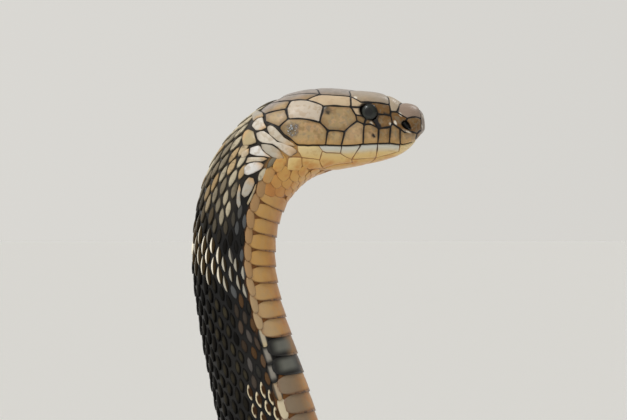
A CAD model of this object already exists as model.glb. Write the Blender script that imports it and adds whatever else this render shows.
"""Looks of a life-size king cobra model with its front raised.

One skin, with the head shields in relief, replaces the solids of flesh. Dorsal scales, throat
scales and ventral scutes are real plates that are rooted in that skin, and the eyes are separate.
"""

import logging
import math
from dataclasses import dataclass, field
from enum import Enum

import bpy
import numpy as np
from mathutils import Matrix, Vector
from mathutils.geometry import delaunay_2d_cdt


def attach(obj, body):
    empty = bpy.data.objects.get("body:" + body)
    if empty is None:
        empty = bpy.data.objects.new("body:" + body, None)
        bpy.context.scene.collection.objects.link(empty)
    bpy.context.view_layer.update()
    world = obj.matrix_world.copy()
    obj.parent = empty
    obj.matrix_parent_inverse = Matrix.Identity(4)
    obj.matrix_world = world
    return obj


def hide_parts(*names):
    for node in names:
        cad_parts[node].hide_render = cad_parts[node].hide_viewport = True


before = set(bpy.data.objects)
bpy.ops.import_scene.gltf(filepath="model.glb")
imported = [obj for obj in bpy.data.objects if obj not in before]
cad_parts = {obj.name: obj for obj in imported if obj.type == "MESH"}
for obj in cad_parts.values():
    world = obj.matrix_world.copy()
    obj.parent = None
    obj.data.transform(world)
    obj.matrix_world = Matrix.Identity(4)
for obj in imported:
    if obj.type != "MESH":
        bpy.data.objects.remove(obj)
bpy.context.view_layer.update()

log = logging.getLogger("cobra")

MM = 0.001
Stations = tuple[tuple[float, float], ...]
Shades = dict[str, np.ndarray]

# The photograph's frame, the snout's tip in it, and the size of a pixel at the animal in mm
PICTURE = (627, 420)
SNOUT_PIXEL = (424.5, 123.0)
PIXEL_MM = 0.545

# The animal's path and sections in millimetres along the body from the snout, as in its solids
TOTAL_LENGTH = 3300.0
TOUCH_DOWN = 775.0
VENT = 2640.0
NECK_END = 330.0
TAIL_TIP = 2950.0
AXIS_BELOW_SNOUT = 2.5
PRESSED_SHARE = 0.085
PITCH = ((0, 0), (30, 0.5), (49, 4.3), (65, 16.9), (81, 37.6), (97, 52.4), (121, 74.4),
         (145, 88.6), (169, 99.4), (205, 104.5), (430, 106), (520, 96), (600, 72), (680, 38),
         (740, 8), (TOUCH_DOWN, 0), (TOTAL_LENGTH, 0))
HEADING = ((0, 180), (TOUCH_DOWN, 180), (835, 177), (940, 152), (1050, 112), (1170, 84),
           (1320, 62), (1450, 26), (1560, -10), (1700, -40), (1880, -54), (2050, -76),
           (2200, -104), (2350, -136), (2520, -162), (VENT, -180), (2800, -202), (2940, -200),
           (3080, -174), (3200, -152), (TOTAL_LENGTH, -146))
HALF_BREADTH = ((0, 0), (0.6, 4.2), (2.5, 7.6), (5, 10.2), (8, 12.2), (12, 14.0), (18, 16.2),
                (27, 18.6), (37, 20.8), (53, 24.0), (65, 25.4), (77, 25.2), (90, 24.0),
                (110, 23.4), (133, 23.8), (165, 25.0), (200, 26.2), (237, 27.0), (320, 28),
                (450, 29), (TOUCH_DOWN, 30), (1400, 31), (2100, 27), (VENT, 19.5), (2760, 17),
                (3000, 11.5), (3200, 6), (3290, 2.4), (TOTAL_LENGTH, 1.2))
TRUNK = ((53, 22.5), (65, 23.4), (77, 23.7), (90, 23.7), (110, 23.2), (133, 22.4), (165, 22.5),
         (200, 24.2), (237, 26.0), (320, 27), (450, 28), (TOUCH_DOWN, 27.5), (1400, 29),
         (2100, 26), (VENT, 19.5), (2760, 17), (3000, 11.5), (3200, 6), (3290, 2.4),
         (TOTAL_LENGTH, 1.2))
RISE = ((0, 0), (0.6, 5.9), (2.5, 9.6), (5, 11.9), (8, 12.9), (12, 13.4), (18, 16.4), (27, 19.1),
        (37, 20.2), *TRUNK)
DROP = ((0, 0), (0.6, 1.9), (2.5, 3.9), (5, 7.2), (8, 10.6), (12, 13.6), (18, 16.4), (27, 18.8),
        (37, 20.7), *TRUNK)
CROWN_POWER = ((0, 2.0), (8, 2.5), (30, 2.9), (55, 2.7), (90, 2.2), (140, 2.05),
               (TOTAL_LENGTH, 2.05))
CHIN_POWER = ((0, 2.0), (12, 2.3), (50, 2.4), (90, 2.15), (140, 2.05), (TOTAL_LENGTH, 2.05))
# Swellings and hollows of the head: distance, height over the axis, length, height, swell
HEAD_FORMS = (
    (30, 14.5, 10.0, 2.6, 1.5),
    (19, 7.5, 5.0, 3.5, -0.8),
    (62, -6.0, 13.0, 9.0, 1.4),
    (30, -6.5, 18.0, 2.4, 0.7),
    (31, 3.0, 5.0, 2.2, -0.5),
)
# The eye's place seen from the side, its radius, dome and depth in its pit, and the nostril's
# place and half size
EYE_AT = (30.5, 5.8)
EYE_RADIUS = 5.0
EYE_DOME = 3.7
EYE_SINK = 1.9
NOSTRIL_AT = (9.9, -1.1)
NOSTRIL_HALF = (3.3, 2.7)
# Seeds of the random draws for the bows of the seams, the tones of the shields and the throat
SEAM_SEED, SHIELD_SEED, THROAT_SEED = 7, 3, 11
# Share of the girth, from the back's midline, at which the small rows of the back end and at
# which the scutes of the belly begin: one row of wide scales lies between them
ROWS_EDGE = ((60, 0.55), (115, 0.575), (150, 0.59), (330, 0.595), (TOUCH_DOWN, 0.61),
             (TOTAL_LENGTH, 0.62))
SCUTE_EDGE = ((60, 0.62), (200, 0.64), (330, 0.65), (TOUCH_DOWN, 0.68), (TOTAL_LENGTH, 0.69))

# Named corners of the head shields, in mm: side corners by the distance behind the snout's tip and
# the height over it, and crown corners by that distance and the breadth from the midline
SIDE_CORNERS = {
    "rostral_shoulder": (2.3, 8.0), "rostral_side": (1.9, 2.2), "rostral_flank": (1.9, -4.2),
    "nasal_foot": (4.1, -5.9), "rostral_lip": (5.4, -10.1),
    "nostril_top": (9.4, 2.5), "nostril_crown": (10.2, 1.0), "nostril_heel": (10.8, -4.6),
    "nostril_foot": (10.9, -5.3), "nasal_peak": (15.0, 5.8), "canthus": (13.4, 10.2),
    "prefrontal_heel": (18.6, 6.0), "brow_front": (19.1, 9.8), "preocular_waist": (18.5, 4.0),
    "eye_waist": (26.0, 4.6), "eye_heel": (32.0, 2.0), "eye_toe": (28.6, 2.1),
    "nasal_heel": (17.7, -0.4), "labial1_top": (13.3, -3.3),
    "labial1_lip": (13.1, -12.2), "labial2_top": (18.5, -2.1), "labial2_lip": (19.3, -11.9),
    "labial3_top": (25.0, -3.1), "labial3_lip": (25.6, -11.9), "eye_foot": (29.5, -0.8),
    "labial4_top": (32.9, -1.0), "labial4_lip": (33.5, -12.2), "labial5_crown": (36.9, 0.8),
    "labial5_top": (43.6, -4.9), "labial5_lip": (45.5, -12.9), "labial6_top": (52.7, -4.4),
    "labial6_lip": (53.9, -12.6), "brow_mid": (29.6, 11.0), "eye_brow": (30.2, 8.6),
    "brow_rear": (34.8, 11.2), "post_top": (40.4, 14.3),
    "post_foot": (40.2, 8.6), "post_front": (33.9, 8.4), "post_heel": (37.6, 4.2),
    "post_low": (34.0, 3.6), "parietal_front": (48.6, 14.9), "parietal_rear": (57.1, 15.3),
    "occipital_side": (65.8, 16.0), "temple_peak": (64.3, 12.3), "temple_back": (55.0, 9.1),
    "temple_low": (55.9, 5.0), "temple_rear": (72.8, 12.0), "cheek_mid": (57.0, 0.0),
    "cheek_rear": (75.0, 5.2), "cheek_back": (74.3, 2.0), "nape_waist": (75.2, 7.5),
    "nape_mid": (84.0, 10.6), "nape_point": (89.4, 6.6), "nape_tip": (87.2, 4.8),
    "nape_low": (86.8, 0.6), "cheek_heel": (79.4, -2.8), "cheek_low": (76.4, -6.6),
    "jowl_top": (71.6, -10.2), "jowl": (69.4, -12.4), "below1_lip": (13.2, -11.8),
    "below1": (13.9, -15.6), "below2_lip": (25.5, -11.5), "below2": (26.6, -19.2),
    "below3_lip": (34.5, -11.9), "below3": (39.7, -20.0), "below4_lip": (44.9, -12.5),
    "below4": (45.8, -16.8), "below5_lip": (58.0, -12.3), "below5": (53.4, -16.5),
    "below5_foot": (55.6, -15.5), "below6": (57.1, -20.4), "below7": (66.8, -19.1),
    "below7_lip": (69.0, -15.5), "throat3": (39.3, -21.8), "throat4": (54.9, -25.0),
    "throat5": (56.6, -22.6), "throat6": (62.6, -25.6), "throat7": (66.6, -23.6),
    "throat8": (68.0, -26.6), "throat9": (74.9, -26.0), "throat_fold": (74.1, -19.1),
}
CROWN_CORNERS = {
    "rostral_crown": (4.4, 0.0), "internasal_mid": (11.6, 0.0), "prefrontal_mid": (20.6, 0.0),
    "frontal_corner": (21.0, 5.6), "frontal_waist": (31.0, 4.6), "frontal_heel": (36.2, 3.6),
    "frontal_mid": (38.8, 0.0), "brow_heel": (41.2, 9.0), "brow_shoulder": (19.6, 11.2),
    "parietal_mid": (60.5, 0.0), "occipital_mid": (77.5, 0.0), "occipital_heel": (77.5, 8.0),
}
SHIELD_SEAMS = (
    ("rostral_crown", "rostral_shoulder", "rostral_side", "rostral_flank", "nasal_foot",
     "rostral_lip"),
    ("rostral_side", "nostril_top", "nasal_peak"),
    ("internasal_mid", "canthus", "nasal_peak", "prefrontal_heel"),
    ("nostril_top", "nostril_crown"),
    ("nostril_heel", "nostril_foot"),
    ("nasal_foot", "nostril_foot", "labial1_top"),
    ("prefrontal_mid", "frontal_corner", "brow_shoulder", "brow_front", "prefrontal_heel",
     "preocular_waist", "nasal_heel", "labial1_top", "labial1_lip"),
    ("preocular_waist", "eye_waist"),
    ("eye_toe", "labial3_top"),
    ("eye_heel", "labial4_top"),
    ("nasal_heel", "labial2_top", "labial2_lip"),
    ("labial2_top", "labial3_top", "labial3_lip"),
    ("labial3_top", "eye_foot", "labial4_top", "labial4_lip"),
    ("labial4_top", "labial5_crown", "labial5_top", "labial5_lip"),
    ("labial5_top", "labial6_top", "labial6_lip"),
    ("labial6_top", "cheek_mid", "cheek_back", "cheek_heel", "cheek_low", "jowl_top", "jowl"),
    ("brow_front", "brow_mid", "brow_rear", "post_top", "brow_heel", "frontal_heel"),
    ("eye_brow", "brow_mid"),
    ("frontal_corner", "frontal_waist", "frontal_heel", "frontal_mid", "parietal_mid",
     "occipital_mid"),
    ("internasal_mid", "rostral_crown"),
    ("internasal_mid", "prefrontal_mid"),
    ("post_top", "post_foot", "post_heel", "labial5_crown"),
    ("post_front", "post_foot"),
    ("post_low", "post_heel"),
    ("post_foot", "temple_back", "temple_low", "cheek_mid"),
    ("temple_back", "temple_peak", "temple_rear", "nape_waist", "cheek_rear", "cheek_back"),
    ("post_top", "parietal_front", "parietal_rear", "occipital_side", "occipital_heel",
     "occipital_mid"),
    ("parietal_rear", "temple_peak"),
    ("parietal_mid", "parietal_rear"),
    ("temple_rear", "nape_mid"),
    ("nape_waist", "nape_tip"),
    ("occipital_heel", "nape_mid", "nape_point", "nape_tip", "nape_low", "cheek_heel"),
    ("below1_lip", "below1", "below2", "below3"),
    ("below2_lip", "below2"),
    ("below3_lip", "below3", "throat3"),
    ("below4_lip", "below4", "below3"),
    ("below5_lip", "below5_foot", "below5", "below4"),
    ("below5_foot", "below6", "below7", "below7_lip", "jowl"),
    ("below6", "throat5", "throat4", "throat3"),
    ("throat4", "throat6", "throat7", "below7"),
    ("throat7", "throat8", "throat9", "throat_fold", "below7"),
    ("chin_mid", "chin_waist", "throat_mid"),
    ("below2", "chin_waist"),
)
MOUTH_LINE = ((4.9, -9.6), (8.6, -11.1), (12.3, -12.0), (16.3, -11.7), (25.5, -11.7),
              (33.1, -12.0), (44.9, -12.7), (52.2, -12.4), (58.0, -12.5), (63.2, -12.5),
              (68.6, -12.3), (71.2, -11.3))
# Corners under the chin, by distance along and share of the way round
THROAT_CORNERS = {"mouth_mid": (4.4, 1.0), "chin_mid": (17.0, 1.0), "chin_waist": (33.0, 1.0),
                  "throat_mid": (49.0, 1.0)}
# Rear edge of the shields, from the crown's midline to the throat's: the scales begin behind it
SHIELD_EDGE = ("occipital_mid", "occipital_heel", "nape_mid", "nape_point", "nape_tip",
               "nape_low", "cheek_heel", "cheek_low", "jowl_top", "jowl", "below7_lip",
               "below7", "throat_fold", "throat9", "throat8", "throat7", "throat6", "throat4",
               "throat_mid")
# Large pale plates behind the jaw: their side outline, and how white, ochre and grey each one is
JOWL_PLATES = (
    (((93.7, 4.3), (91.3, 6.4), (88.1, 5.7), (87.5, 3.4), (91.3, 2.5), (93.4, 0.6)),
     (0.0, 0.10, 0.80)),
    (((94.0, -1.9), (92.9, 0.3), (90.9, 2.2), (87.9, 3.1), (87.2, -0.3), (85.8, -2.7),
      (88.9, -4.1), (91.9, -4.4)), (0.55, 0.0, 0.25)),
    (((85.7, -2.3), (84.2, -1.3), (82.0, -1.9), (79.1, -5.1), (76.1, -8.4), (72.7, -10.4),
      (70.0, -12.1), (70.3, -13.1), (74.9, -12.6), (80.3, -10.0), (84.2, -6.7), (85.6, -3.9)),
     (0.35, 0.05, 0.35)),
    (((91.9, -5.8), (88.9, -4.4), (85.8, -4.7), (82.8, -8.5), (79.1, -11.2), (74.3, -13.4),
      (69.7, -13.7), (69.3, -16.5), (73.0, -18.8), (76.6, -16.5), (79.1, -14.1), (82.9, -11.5),
      (88.6, -11.2), (90.9, -9.1)), (0.50, 0.05, 0.15)),
    (((99.2, -6.7), (98.0, -4.5), (96.2, -3.4), (92.8, -4.7), (91.9, -8.4), (91.2, -10.8),
      (93.7, -11.9), (98.7, -12.9), (99.3, -9.7)), (0.0, 0.70, 0.25)),
    (((89.1, -11.5), (83.1, -12.0), (79.1, -14.7), (77.8, -17.0), (76.3, -19.4), (79.1, -19.9),
      (82.7, -19.0), (86.4, -16.5), (88.6, -14.1)), (0.30, 0.0, 0.55)),
    (((94.9, -13.7), (89.7, -12.1), (88.1, -15.1), (85.2, -17.6), (82.5, -19.4), (86.7, -18.4),
      (91.3, -18.2), (95.2, -17.1)), (0.85, 0.0, 0.0)),
    (((99.7, -15.6), (95.4, -13.7), (95.6, -17.1), (97.4, -18.8), (99.7, -19.4)),
     (0.35, 0.35, 0.0)),
    (((96.2, -18.8), (91.3, -18.6), (86.9, -18.8), (85.2, -19.7), (88.3, -21.2), (93.7, -21.3),
      (97.4, -22.2)), (0.40, 0.20, 0.0)),
    (((98.2, -24.3), (96.2, -22.2), (92.5, -21.3), (88.9, -21.6), (87.2, -22.8), (88.9, -25.3),
      (92.5, -27.4), (96.2, -28.7), (98.2, -28.0)), (1.0, 0.0, 0.0)),
    (((99.2, -35.9), (97.7, -31.7), (95.6, -29.5), (93.0, -30.0), (92.3, -32.8), (93.7, -36.5),
      (95.6, -39.3), (98.0, -40.9), (99.7, -39.2)), (0.35, 0.0, 0.65)),
    (((100.6, -32.8), (99.9, -35.9), (100.2, -40.8), (99.8, -44.6), (101.2, -46.8),
      (102.4, -43.8), (102.2, -38.3)), (0.0, 0.0, 1.0)),
    (((91.3, -32.8), (91.9, -36.5), (94.3, -42.0), (96.2, -45.0), (96.9, -43.8), (95.2, -40.6),
      (92.9, -36.4), (92.3, -33.8)), (0.0, 0.6, 0.4)),
)


def linear(code: str) -> tuple[float, float, float, float]:
    """Turn an sRGB hex colour to linear.

    Args:
        code: six hex digits.

    Returns:
        Red, green, blue and alpha, linear.
    """
    parts = [int(code[k:k + 2], 16) / 255 for k in (0, 2, 4)]
    parts = [p / 12.92 if p <= 0.04045 else ((p + 0.055) / 1.055) ** 2.4 for p in parts]
    return (*parts, 1.0)


def soft_step(values: np.ndarray, low: float, high: float) -> np.ndarray:
    """Return a smooth step of values from 0 at low to 1 at high."""
    share = np.clip((np.asarray(values, float) - low) / (high - low), 0, 1)
    return share * share * (3 - 2 * share)


def ridge(reach: np.ndarray, height: float, middle: float, width: float) -> np.ndarray:
    """Return a rounded ridge, of its full height where the reach is at its middle."""
    return height * np.exp(-((reach - middle) / width) ** 2)


def smooth_value(places: np.ndarray, stations: Stations) -> np.ndarray:
    """Return the values at places of the smooth curve, without overshoot, through the stations."""
    knots, values = np.array(stations, float).T
    places = np.asarray(places, float)
    span = np.diff(knots)
    slope = np.diff(values) / span
    tangent = np.zeros_like(values)
    before, after = 2 * span[1:] + span[:-1], span[1:] + 2 * span[:-1]
    turning = slope[1:] * slope[:-1] <= 0
    safe = [np.where(turning, 1.0, part) for part in (slope[:-1], slope[1:])]
    tangent[1:-1] = np.where(turning, 0.0, (before + after) / (before / safe[0] + after / safe[1]))
    tangent[0], tangent[-1] = slope[0], slope[-1]
    i = np.clip(np.searchsorted(knots, places, side="right") - 1, 0, len(knots) - 2)
    t = np.clip((places - knots[i]) / span[i], 0, 1)
    rise, run = t * t * (3 - 2 * t), span[i]
    lead = t * (1 - t) ** 2 * run * tangent[i]
    tail = t * t * (t - 1) * run * tangent[i + 1]
    return values[i] * (1 - rise) + values[i + 1] * rise + lead + tail


def section_value(places: np.ndarray, stations: Stations) -> np.ndarray:
    """Return a section's size at places: near the snout it grows as on a rounded nose."""
    rooted = tuple((math.sqrt(place), value) for place, value in stations)
    return smooth_value(np.sqrt(places), rooted)


@dataclass
class Surface:
    """The animal's outer surface, as a table of points along and round it.

    Every place is given by its distance along the body from the snout, in millimetres, and its
    share of the way round it: 0 on the back, 1 and -1 on the belly, and more than 0 to the right.
    """

    root_step: float = 0.05
    around: int = 129
    path: np.ndarray = field(init=False)
    snout: np.ndarray = field(init=False)

    def __post_init__(self) -> None:
        """Work out the path and the table."""
        self.along = np.arange(0, TOTAL_LENGTH + 1, 1.0)
        pitch = np.radians(smooth_value(self.along, PITCH))
        heading = np.radians(smooth_value(self.along, HEADING))
        level = np.stack([np.cos(heading), np.sin(heading), 0 * heading], 1)
        upright = np.array([0.0, 0.0, 1.0])
        forward = level * np.cos(pitch)[:, None] - upright * np.sin(pitch)[:, None]
        self.up = level * np.sin(pitch)[:, None] + upright * np.cos(pitch)[:, None]
        self.side = np.stack([-np.sin(heading), np.cos(heading), 0 * heading], 1)
        steps = (forward[1:] + forward[:-1]) / 2
        self.path = np.concatenate([np.zeros((1, 3)), np.cumsum(steps, axis=0)])
        touch = int(TOUCH_DOWN)
        self.path -= self.path[touch]
        lying = section_value(self.along, DROP) * (1 - PRESSED_SHARE)
        self.path[:, 2] += np.where(self.along < touch, lying[touch], lying)
        self.snout = self.path[0] + upright * AXIS_BELOW_SNOUT
        self.roots = np.arange(0, math.sqrt(TOTAL_LENGTH) + self.root_step, self.root_step)
        self.rounds = np.linspace(-1, 1, self.around)
        self._fill()

    def _fill(self) -> None:
        """Fill the table of points, outward directions and girths."""
        places = np.minimum(self.roots ** 2, TOTAL_LENGTH)
        sizes = [section_value(places, stations) for stations in (HALF_BREADTH, RISE, DROP)]
        powers = [smooth_value(places, stations) for stations in (CROWN_POWER, CHIN_POWER)]
        path, up, side = (self._between(part, places) for part in (self.path, self.up, self.side))
        flat = np.zeros((len(places), self.around, 2))
        for row in range(len(places)):
            flat[row] = self._outline([part[row] for part in sizes],
                                      [part[row] for part in powers])
        flat = self._with_forms(places, flat)
        self.points = path[:, None] + side[:, None] * flat[..., :1] + up[:, None] * flat[..., 1:]
        outward = np.cross(np.gradient(self.points, axis=0), np.gradient(self.points, axis=1))
        outward[0] = outward[1]
        length = np.linalg.norm(outward, axis=2, keepdims=True)
        self.outward = outward / np.maximum(length, 1e-9)
        middle = self.around // 2
        steps = np.linalg.norm(np.diff(self.points, axis=0), axis=2)[:, middle::8].mean(axis=1)
        self.profile = np.concatenate([[0.0], np.cumsum(steps)])
        arcs = np.linalg.norm(np.diff(self.points[:, middle:], axis=1), axis=2)
        self.half_girths = arcs.sum(axis=1)

    def _between(self, values: np.ndarray, places: np.ndarray) -> np.ndarray:
        """Return the path's values at places."""
        return np.stack([np.interp(places, self.along, column) for column in values.T], 1)

    def _outline(self, size: list[float], power: list[float]) -> np.ndarray:
        """Return one section, side and up, at equal steps of its girth from throat to throat."""
        breadth, rise, drop = size
        turn = np.linspace(0, math.pi, 97)
        top = turn <= math.pi / 2
        exponent = np.where(top, 2 / power[0], 2 / power[1])
        side = breadth * np.abs(np.sin(turn)) ** exponent
        up = np.where(top, rise, -drop) * np.abs(np.cos(turn)) ** exponent
        arcs = np.concatenate([[0], np.cumsum(np.hypot(np.diff(side), np.diff(up)))])
        share = arcs / max(arcs[-1], 1e-9)
        share = np.linspace(0, 1, len(turn)) if arcs[-1] < 1e-6 else share
        half = np.abs(self.rounds)
        sides = np.interp(half, share, side) * np.sign(self.rounds)
        return np.stack([sides, np.interp(half, share, up)], 1)

    def _with_forms(self, places: np.ndarray, flat: np.ndarray) -> np.ndarray:
        """Return the sections with the head's swellings and hollows added."""
        edge = np.gradient(flat, axis=1)
        out = np.stack([-edge[..., 1], edge[..., 0]], 2)
        out /= np.maximum(np.linalg.norm(out, axis=2, keepdims=True), 1e-9)
        flank = np.abs(flat[..., 0]) / np.maximum(np.abs(flat[..., 0]).max(axis=1), 1e-6)[:, None]
        swell = np.zeros(flat.shape[:2])
        for place, height, length, tall, amount in HEAD_FORMS:
            ahead = ((places - place) / length)[:, None]
            reach = ahead ** 2 + ((flat[..., 1] - height) / tall) ** 2
            swell += amount * np.exp(-reach / 2) * np.minimum(flank * 1.6, 1.0)
        return flat + out * np.where(places < 120, 1, 0)[:, None, None] * swell[..., None]

    def _pick(self, table: np.ndarray, along: np.ndarray, around: np.ndarray) -> np.ndarray:
        """Return a table's values between its entries."""
        row = np.clip(np.sqrt(along) / self.root_step, 0, len(self.roots) - 1.001)
        column = np.clip((around + 1) / 2 * (self.around - 1), 0, self.around - 1.001)
        i, j = row.astype(int), column.astype(int)
        a, b = (row - i)[..., None], (column - j)[..., None]
        first = table[i, j] * (1 - b) + table[i, j + 1] * b
        second = table[i + 1, j] * (1 - b) + table[i + 1, j + 1] * b
        return first * (1 - a) + second * a

    def at(self, along: np.ndarray, around: np.ndarray, lift: np.ndarray | float) -> np.ndarray:
        """Return points off the surface, none of them under the floor.

        Args:
            along: distances along the body in mm.
            around: shares of the way round; more than 1 or less than -1 wraps under the belly.
            lift: distances off the surface in mm.

        Returns:
            The points in mm.
        """
        along, around = np.broadcast_arrays(np.asarray(along, float), np.asarray(around, float))
        around = np.where(around > 1, around - 2, np.where(around < -1, around + 2, around))
        lift = np.broadcast_to(np.asarray(lift, float), along.shape)
        along = np.clip(along, 0, TOTAL_LENGTH)
        points = self._pick(self.points, along, around)
        points = points + self._pick(self.outward, along, around) * lift[..., None]
        points[..., 2] = np.maximum(points[..., 2], 0)
        return points

    def half_girth(self, along: np.ndarray) -> np.ndarray:
        """Return half the way round the body at distances along it."""
        return np.interp(np.sqrt(np.maximum(along, 0)), self.roots, self.half_girths)

    def locate(self, target: tuple[float, float], crown: bool) -> tuple[float, float]:
        """Find the place on the head that is seen at a given spot from the side or the crown.

        Args:
            target: distance behind the snout, and height over it or breadth from the midline.
            crown: whether the spot is seen from over the crown.

        Returns:
            The distance along and the share of the way round.
        """
        along, around = np.meshgrid(np.linspace(0.5, 11.4, 43) ** 2 * 0.99, np.linspace(0, 1, 41))
        window, centre = (40.0, 0.5), (45.0, 0.5)
        for step in range(7):
            if step:
                spread = np.linspace(-1, 1, 11)
                along, around = np.meshgrid(centre[0] + window[0] * spread,
                                            centre[1] + window[1] * spread)
                along = np.maximum(along, 0.05)
                around = np.clip(around, 0, 0.5 if crown else 1)
            points = self.at(along, around, 0.0)
            behind = self.snout[0] - points[..., 0]
            other = np.abs(points[..., 1]) if crown else points[..., 2] - self.snout[2]
            miss = (behind - target[0]) ** 2 + (other - target[1]) ** 2
            miss = miss + (np.where(around > 0.5, 1e6, 0) if crown else 0)
            best = np.unravel_index(np.argmin(miss), miss.shape)
            centre = (float(along[best]), float(around[best]))
            window = (5.0, 0.05) if step == 0 else (window[0] * 0.4, window[1] * 0.4)
        return centre

    def to_sheet(self, along: np.ndarray, around: np.ndarray) -> np.ndarray:
        """Return places on the flat sheet of one side of the animal, in true millimetres."""
        root = np.sqrt(along)
        girth = np.interp(root, self.roots, self.half_girths)
        return np.stack([np.interp(root, self.roots, self.profile), around * girth], -1)

    def sheet_girth(self, travel: np.ndarray | float) -> np.ndarray:
        """Return half the way round the body at distances along the flat sheet."""
        return np.interp(travel, self.profile, self.half_girths)

    def from_sheet(self, sheet: np.ndarray) -> tuple[np.ndarray, np.ndarray]:
        """Return the distances along and shares round of places on the flat sheet."""
        root = np.interp(sheet[..., 0], self.profile, self.roots)
        girth = np.interp(root, self.roots, self.half_girths)
        return root ** 2, sheet[..., 1] / np.maximum(girth, 1e-9)


@dataclass(frozen=True)
class Zone:
    """A zone of the body: spans in which it begins, by share of the way round and by mm along."""

    flank: tuple[float, float]
    along: tuple[float, float]

    def strength(self, along: np.ndarray, flank: np.ndarray) -> np.ndarray:
        """Return how far places lie in the zone, from 0 to 1."""
        return soft_step(flank, *self.flank) * soft_step(along, *self.along)


@dataclass(frozen=True)
class Markings:
    """Where the animal is pale, orange or black, by place on the body.

    Pale crossbands lie a fixed pitch apart and bend back at the sides as chevrons.
    """

    first_band: float = 140.0
    band_pitch: float = 73.0
    chevron: float = 22.0
    band_half: float = 12.0
    belly_from: Stations = ((60, 0.50), (90, 0.525), (98, 0.548), (115, 0.575), (150, 0.59),
                            (TOTAL_LENGTH, 0.60))
    belly_blur: float = 0.02
    black_band: tuple[float, float] = (192.8, 213.8)
    border: Zone = Zone((0.42, 0.50), (97, 106))
    rust: Zone = Zone((0.44, 0.53), (155, 180))
    olive: Zone = Zone((0.14, 0.34), (150, 185))
    fading: tuple[float, float] = (420, 900)
    jaw_end: tuple[float, float] = (80, 112)
    tan_end: tuple[float, float] = (98, 134)
    cool_from: float = 150.0
    cooling: float = 75.0

    def at(self, along: np.ndarray, around: np.ndarray) -> Shades:
        """Return the strength of each marking.

        Args:
            along: distances along the body in mm.
            around: shares of the way round.

        Returns:
            Each marking's strength from 0 to 1, by its name.
        """
        flank = np.abs(around)
        flank = np.where(flank > 1, 2 - flank, flank)
        shifted = along - self.chevron * np.minimum(flank / 0.6, 1.2) ** 1.4
        turn = (shifted - self.first_band) / self.band_pitch
        number = np.round(turn)
        off = np.abs(turn - number) * self.band_pitch
        strength = 0.34 + 0.16 * np.sin(number * 2.3 + 0.7)
        strength = np.where(number == 0, 1.0, strength)
        strength = np.where((number < 0) | (number == 1), 0.0, strength)
        half = self.band_half * np.where(number == 0, 0.82, 0.86)
        inside = 1 - soft_step(off, half * 0.8, half * 1.15)
        ringed = np.where(number == 1, soft_step(flank, 0.38, 0.46), 0.0) * inside
        edge = smooth_value(along, self.belly_from)
        belly = soft_step(flank, edge - self.belly_blur, edge + self.belly_blur)
        fade = 1 - 0.72 * soft_step(along, *self.fading)
        border = self.border.strength(along, flank)
        rust = self.rust.strength(along, flank)
        jaw = 1 - soft_step(along, *self.jaw_end)
        cool = np.clip((along - self.cool_from) / self.cooling, 0, 1)
        olive = self.olive.strength(along, flank)
        tan = (1 - soft_step(shifted, *self.tan_end)) * (1 - 0.85 * border)
        pale = strength * inside * (1 - 0.6 * soft_step(along, VENT, TOTAL_LENGTH))
        pale = pale * (1 - 0.6 * soft_step(flank, 0.30, 0.48) * (number == 0))
        return {"pale": pale, "ringed": ringed, "belly": belly * fade, "border": border,
                "rust": rust * fade, "black": self._black(along, flank), "tan": tan,
                "jaw": jaw, "cool": cool, "olive": olive * fade}

    def _black(self, along: np.ndarray, flank: np.ndarray) -> np.ndarray:
        """Return the strength of the black that crosses the belly."""
        low, high = self.black_band
        back = along - 6 * soft_step(flank, 0.6, 1.0)
        high = high + 11 * (1 - soft_step(flank, 0.62, 0.68))
        first = soft_step(back, low - 7, low + 7) * (1 - soft_step(back, high - 3, high + 3))
        later = np.abs(((back - 330) / self.band_pitch) % 1 - 0.5) * 2
        later = soft_step(later, 0.5, 0.75) * soft_step(back, 300, 320) * 0.85
        return np.maximum(first, later)


def place_object(name: str, data: bpy.types.ID) -> bpy.types.Object:
    """Make an object of its data and link it into the scene."""
    thing = bpy.data.objects.new(name, data)
    bpy.context.scene.collection.objects.link(thing)
    return thing


def new_material(name: str) -> tuple[bpy.types.Material, bpy.types.NodeTree, bpy.types.Node]:
    """Make a material, and return it with its node tree and its shader."""
    material = bpy.data.materials.new(name)
    material.use_nodes = True
    return material, material.node_tree, material.node_tree.nodes["Principled BSDF"]


def grid_quads(rows: int, columns: int) -> np.ndarray:
    """Return the quads of a grid whose corners are numbered row by row."""
    i, j = np.meshgrid(np.arange(rows), np.arange(columns), indexing="ij")
    first = (i * (columns + 1) + j).ravel()
    return np.stack([first, first + columns + 1, first + columns + 2, first + 1], 1)


def mesh_object(name: str, points: np.ndarray, faces: list[np.ndarray], shades: Shades,
                bake: np.ndarray, weld: bool) -> bpy.types.Object:
    """Make a smooth mesh piece with its markings and the map that its colours bake to.

    Args:
        name: the piece's name.
        points: corners in mm.
        faces: arrays of faces, each with one number of corners.
        shades: one value per corner for each marking.
        bake: a place on the bake map for each corner.
        weld: whether corners at the same point are joined.

    Returns:
        The new object.
    """
    kept, owner = np.arange(len(points)), np.arange(len(points))
    if weld:
        rounded = np.round(points, 3)
        kept, owner = np.unique(rounded, axis=0, return_index=True, return_inverse=True)[1:]
        owner = owner.ravel()
    mesh = bpy.data.meshes.new(name)
    mesh.from_pydata((points[kept] * MM).tolist(), [],
                     [face for part in faces for face in owner[part].tolist()])
    for key, values in shades.items():
        layer = mesh.attributes.new(key, "FLOAT", "POINT")
        layer.data.foreach_set("value", np.asarray(values, np.float32)[kept])
    corners = np.concatenate([part.ravel() for part in faces])
    layer = mesh.uv_layers.new(name="OFBake")
    layer.data.foreach_set("uv", bake[corners].astype(np.float32).ravel())
    mesh.shade_smooth()
    mesh.validate()
    return place_object(name, mesh)


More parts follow.
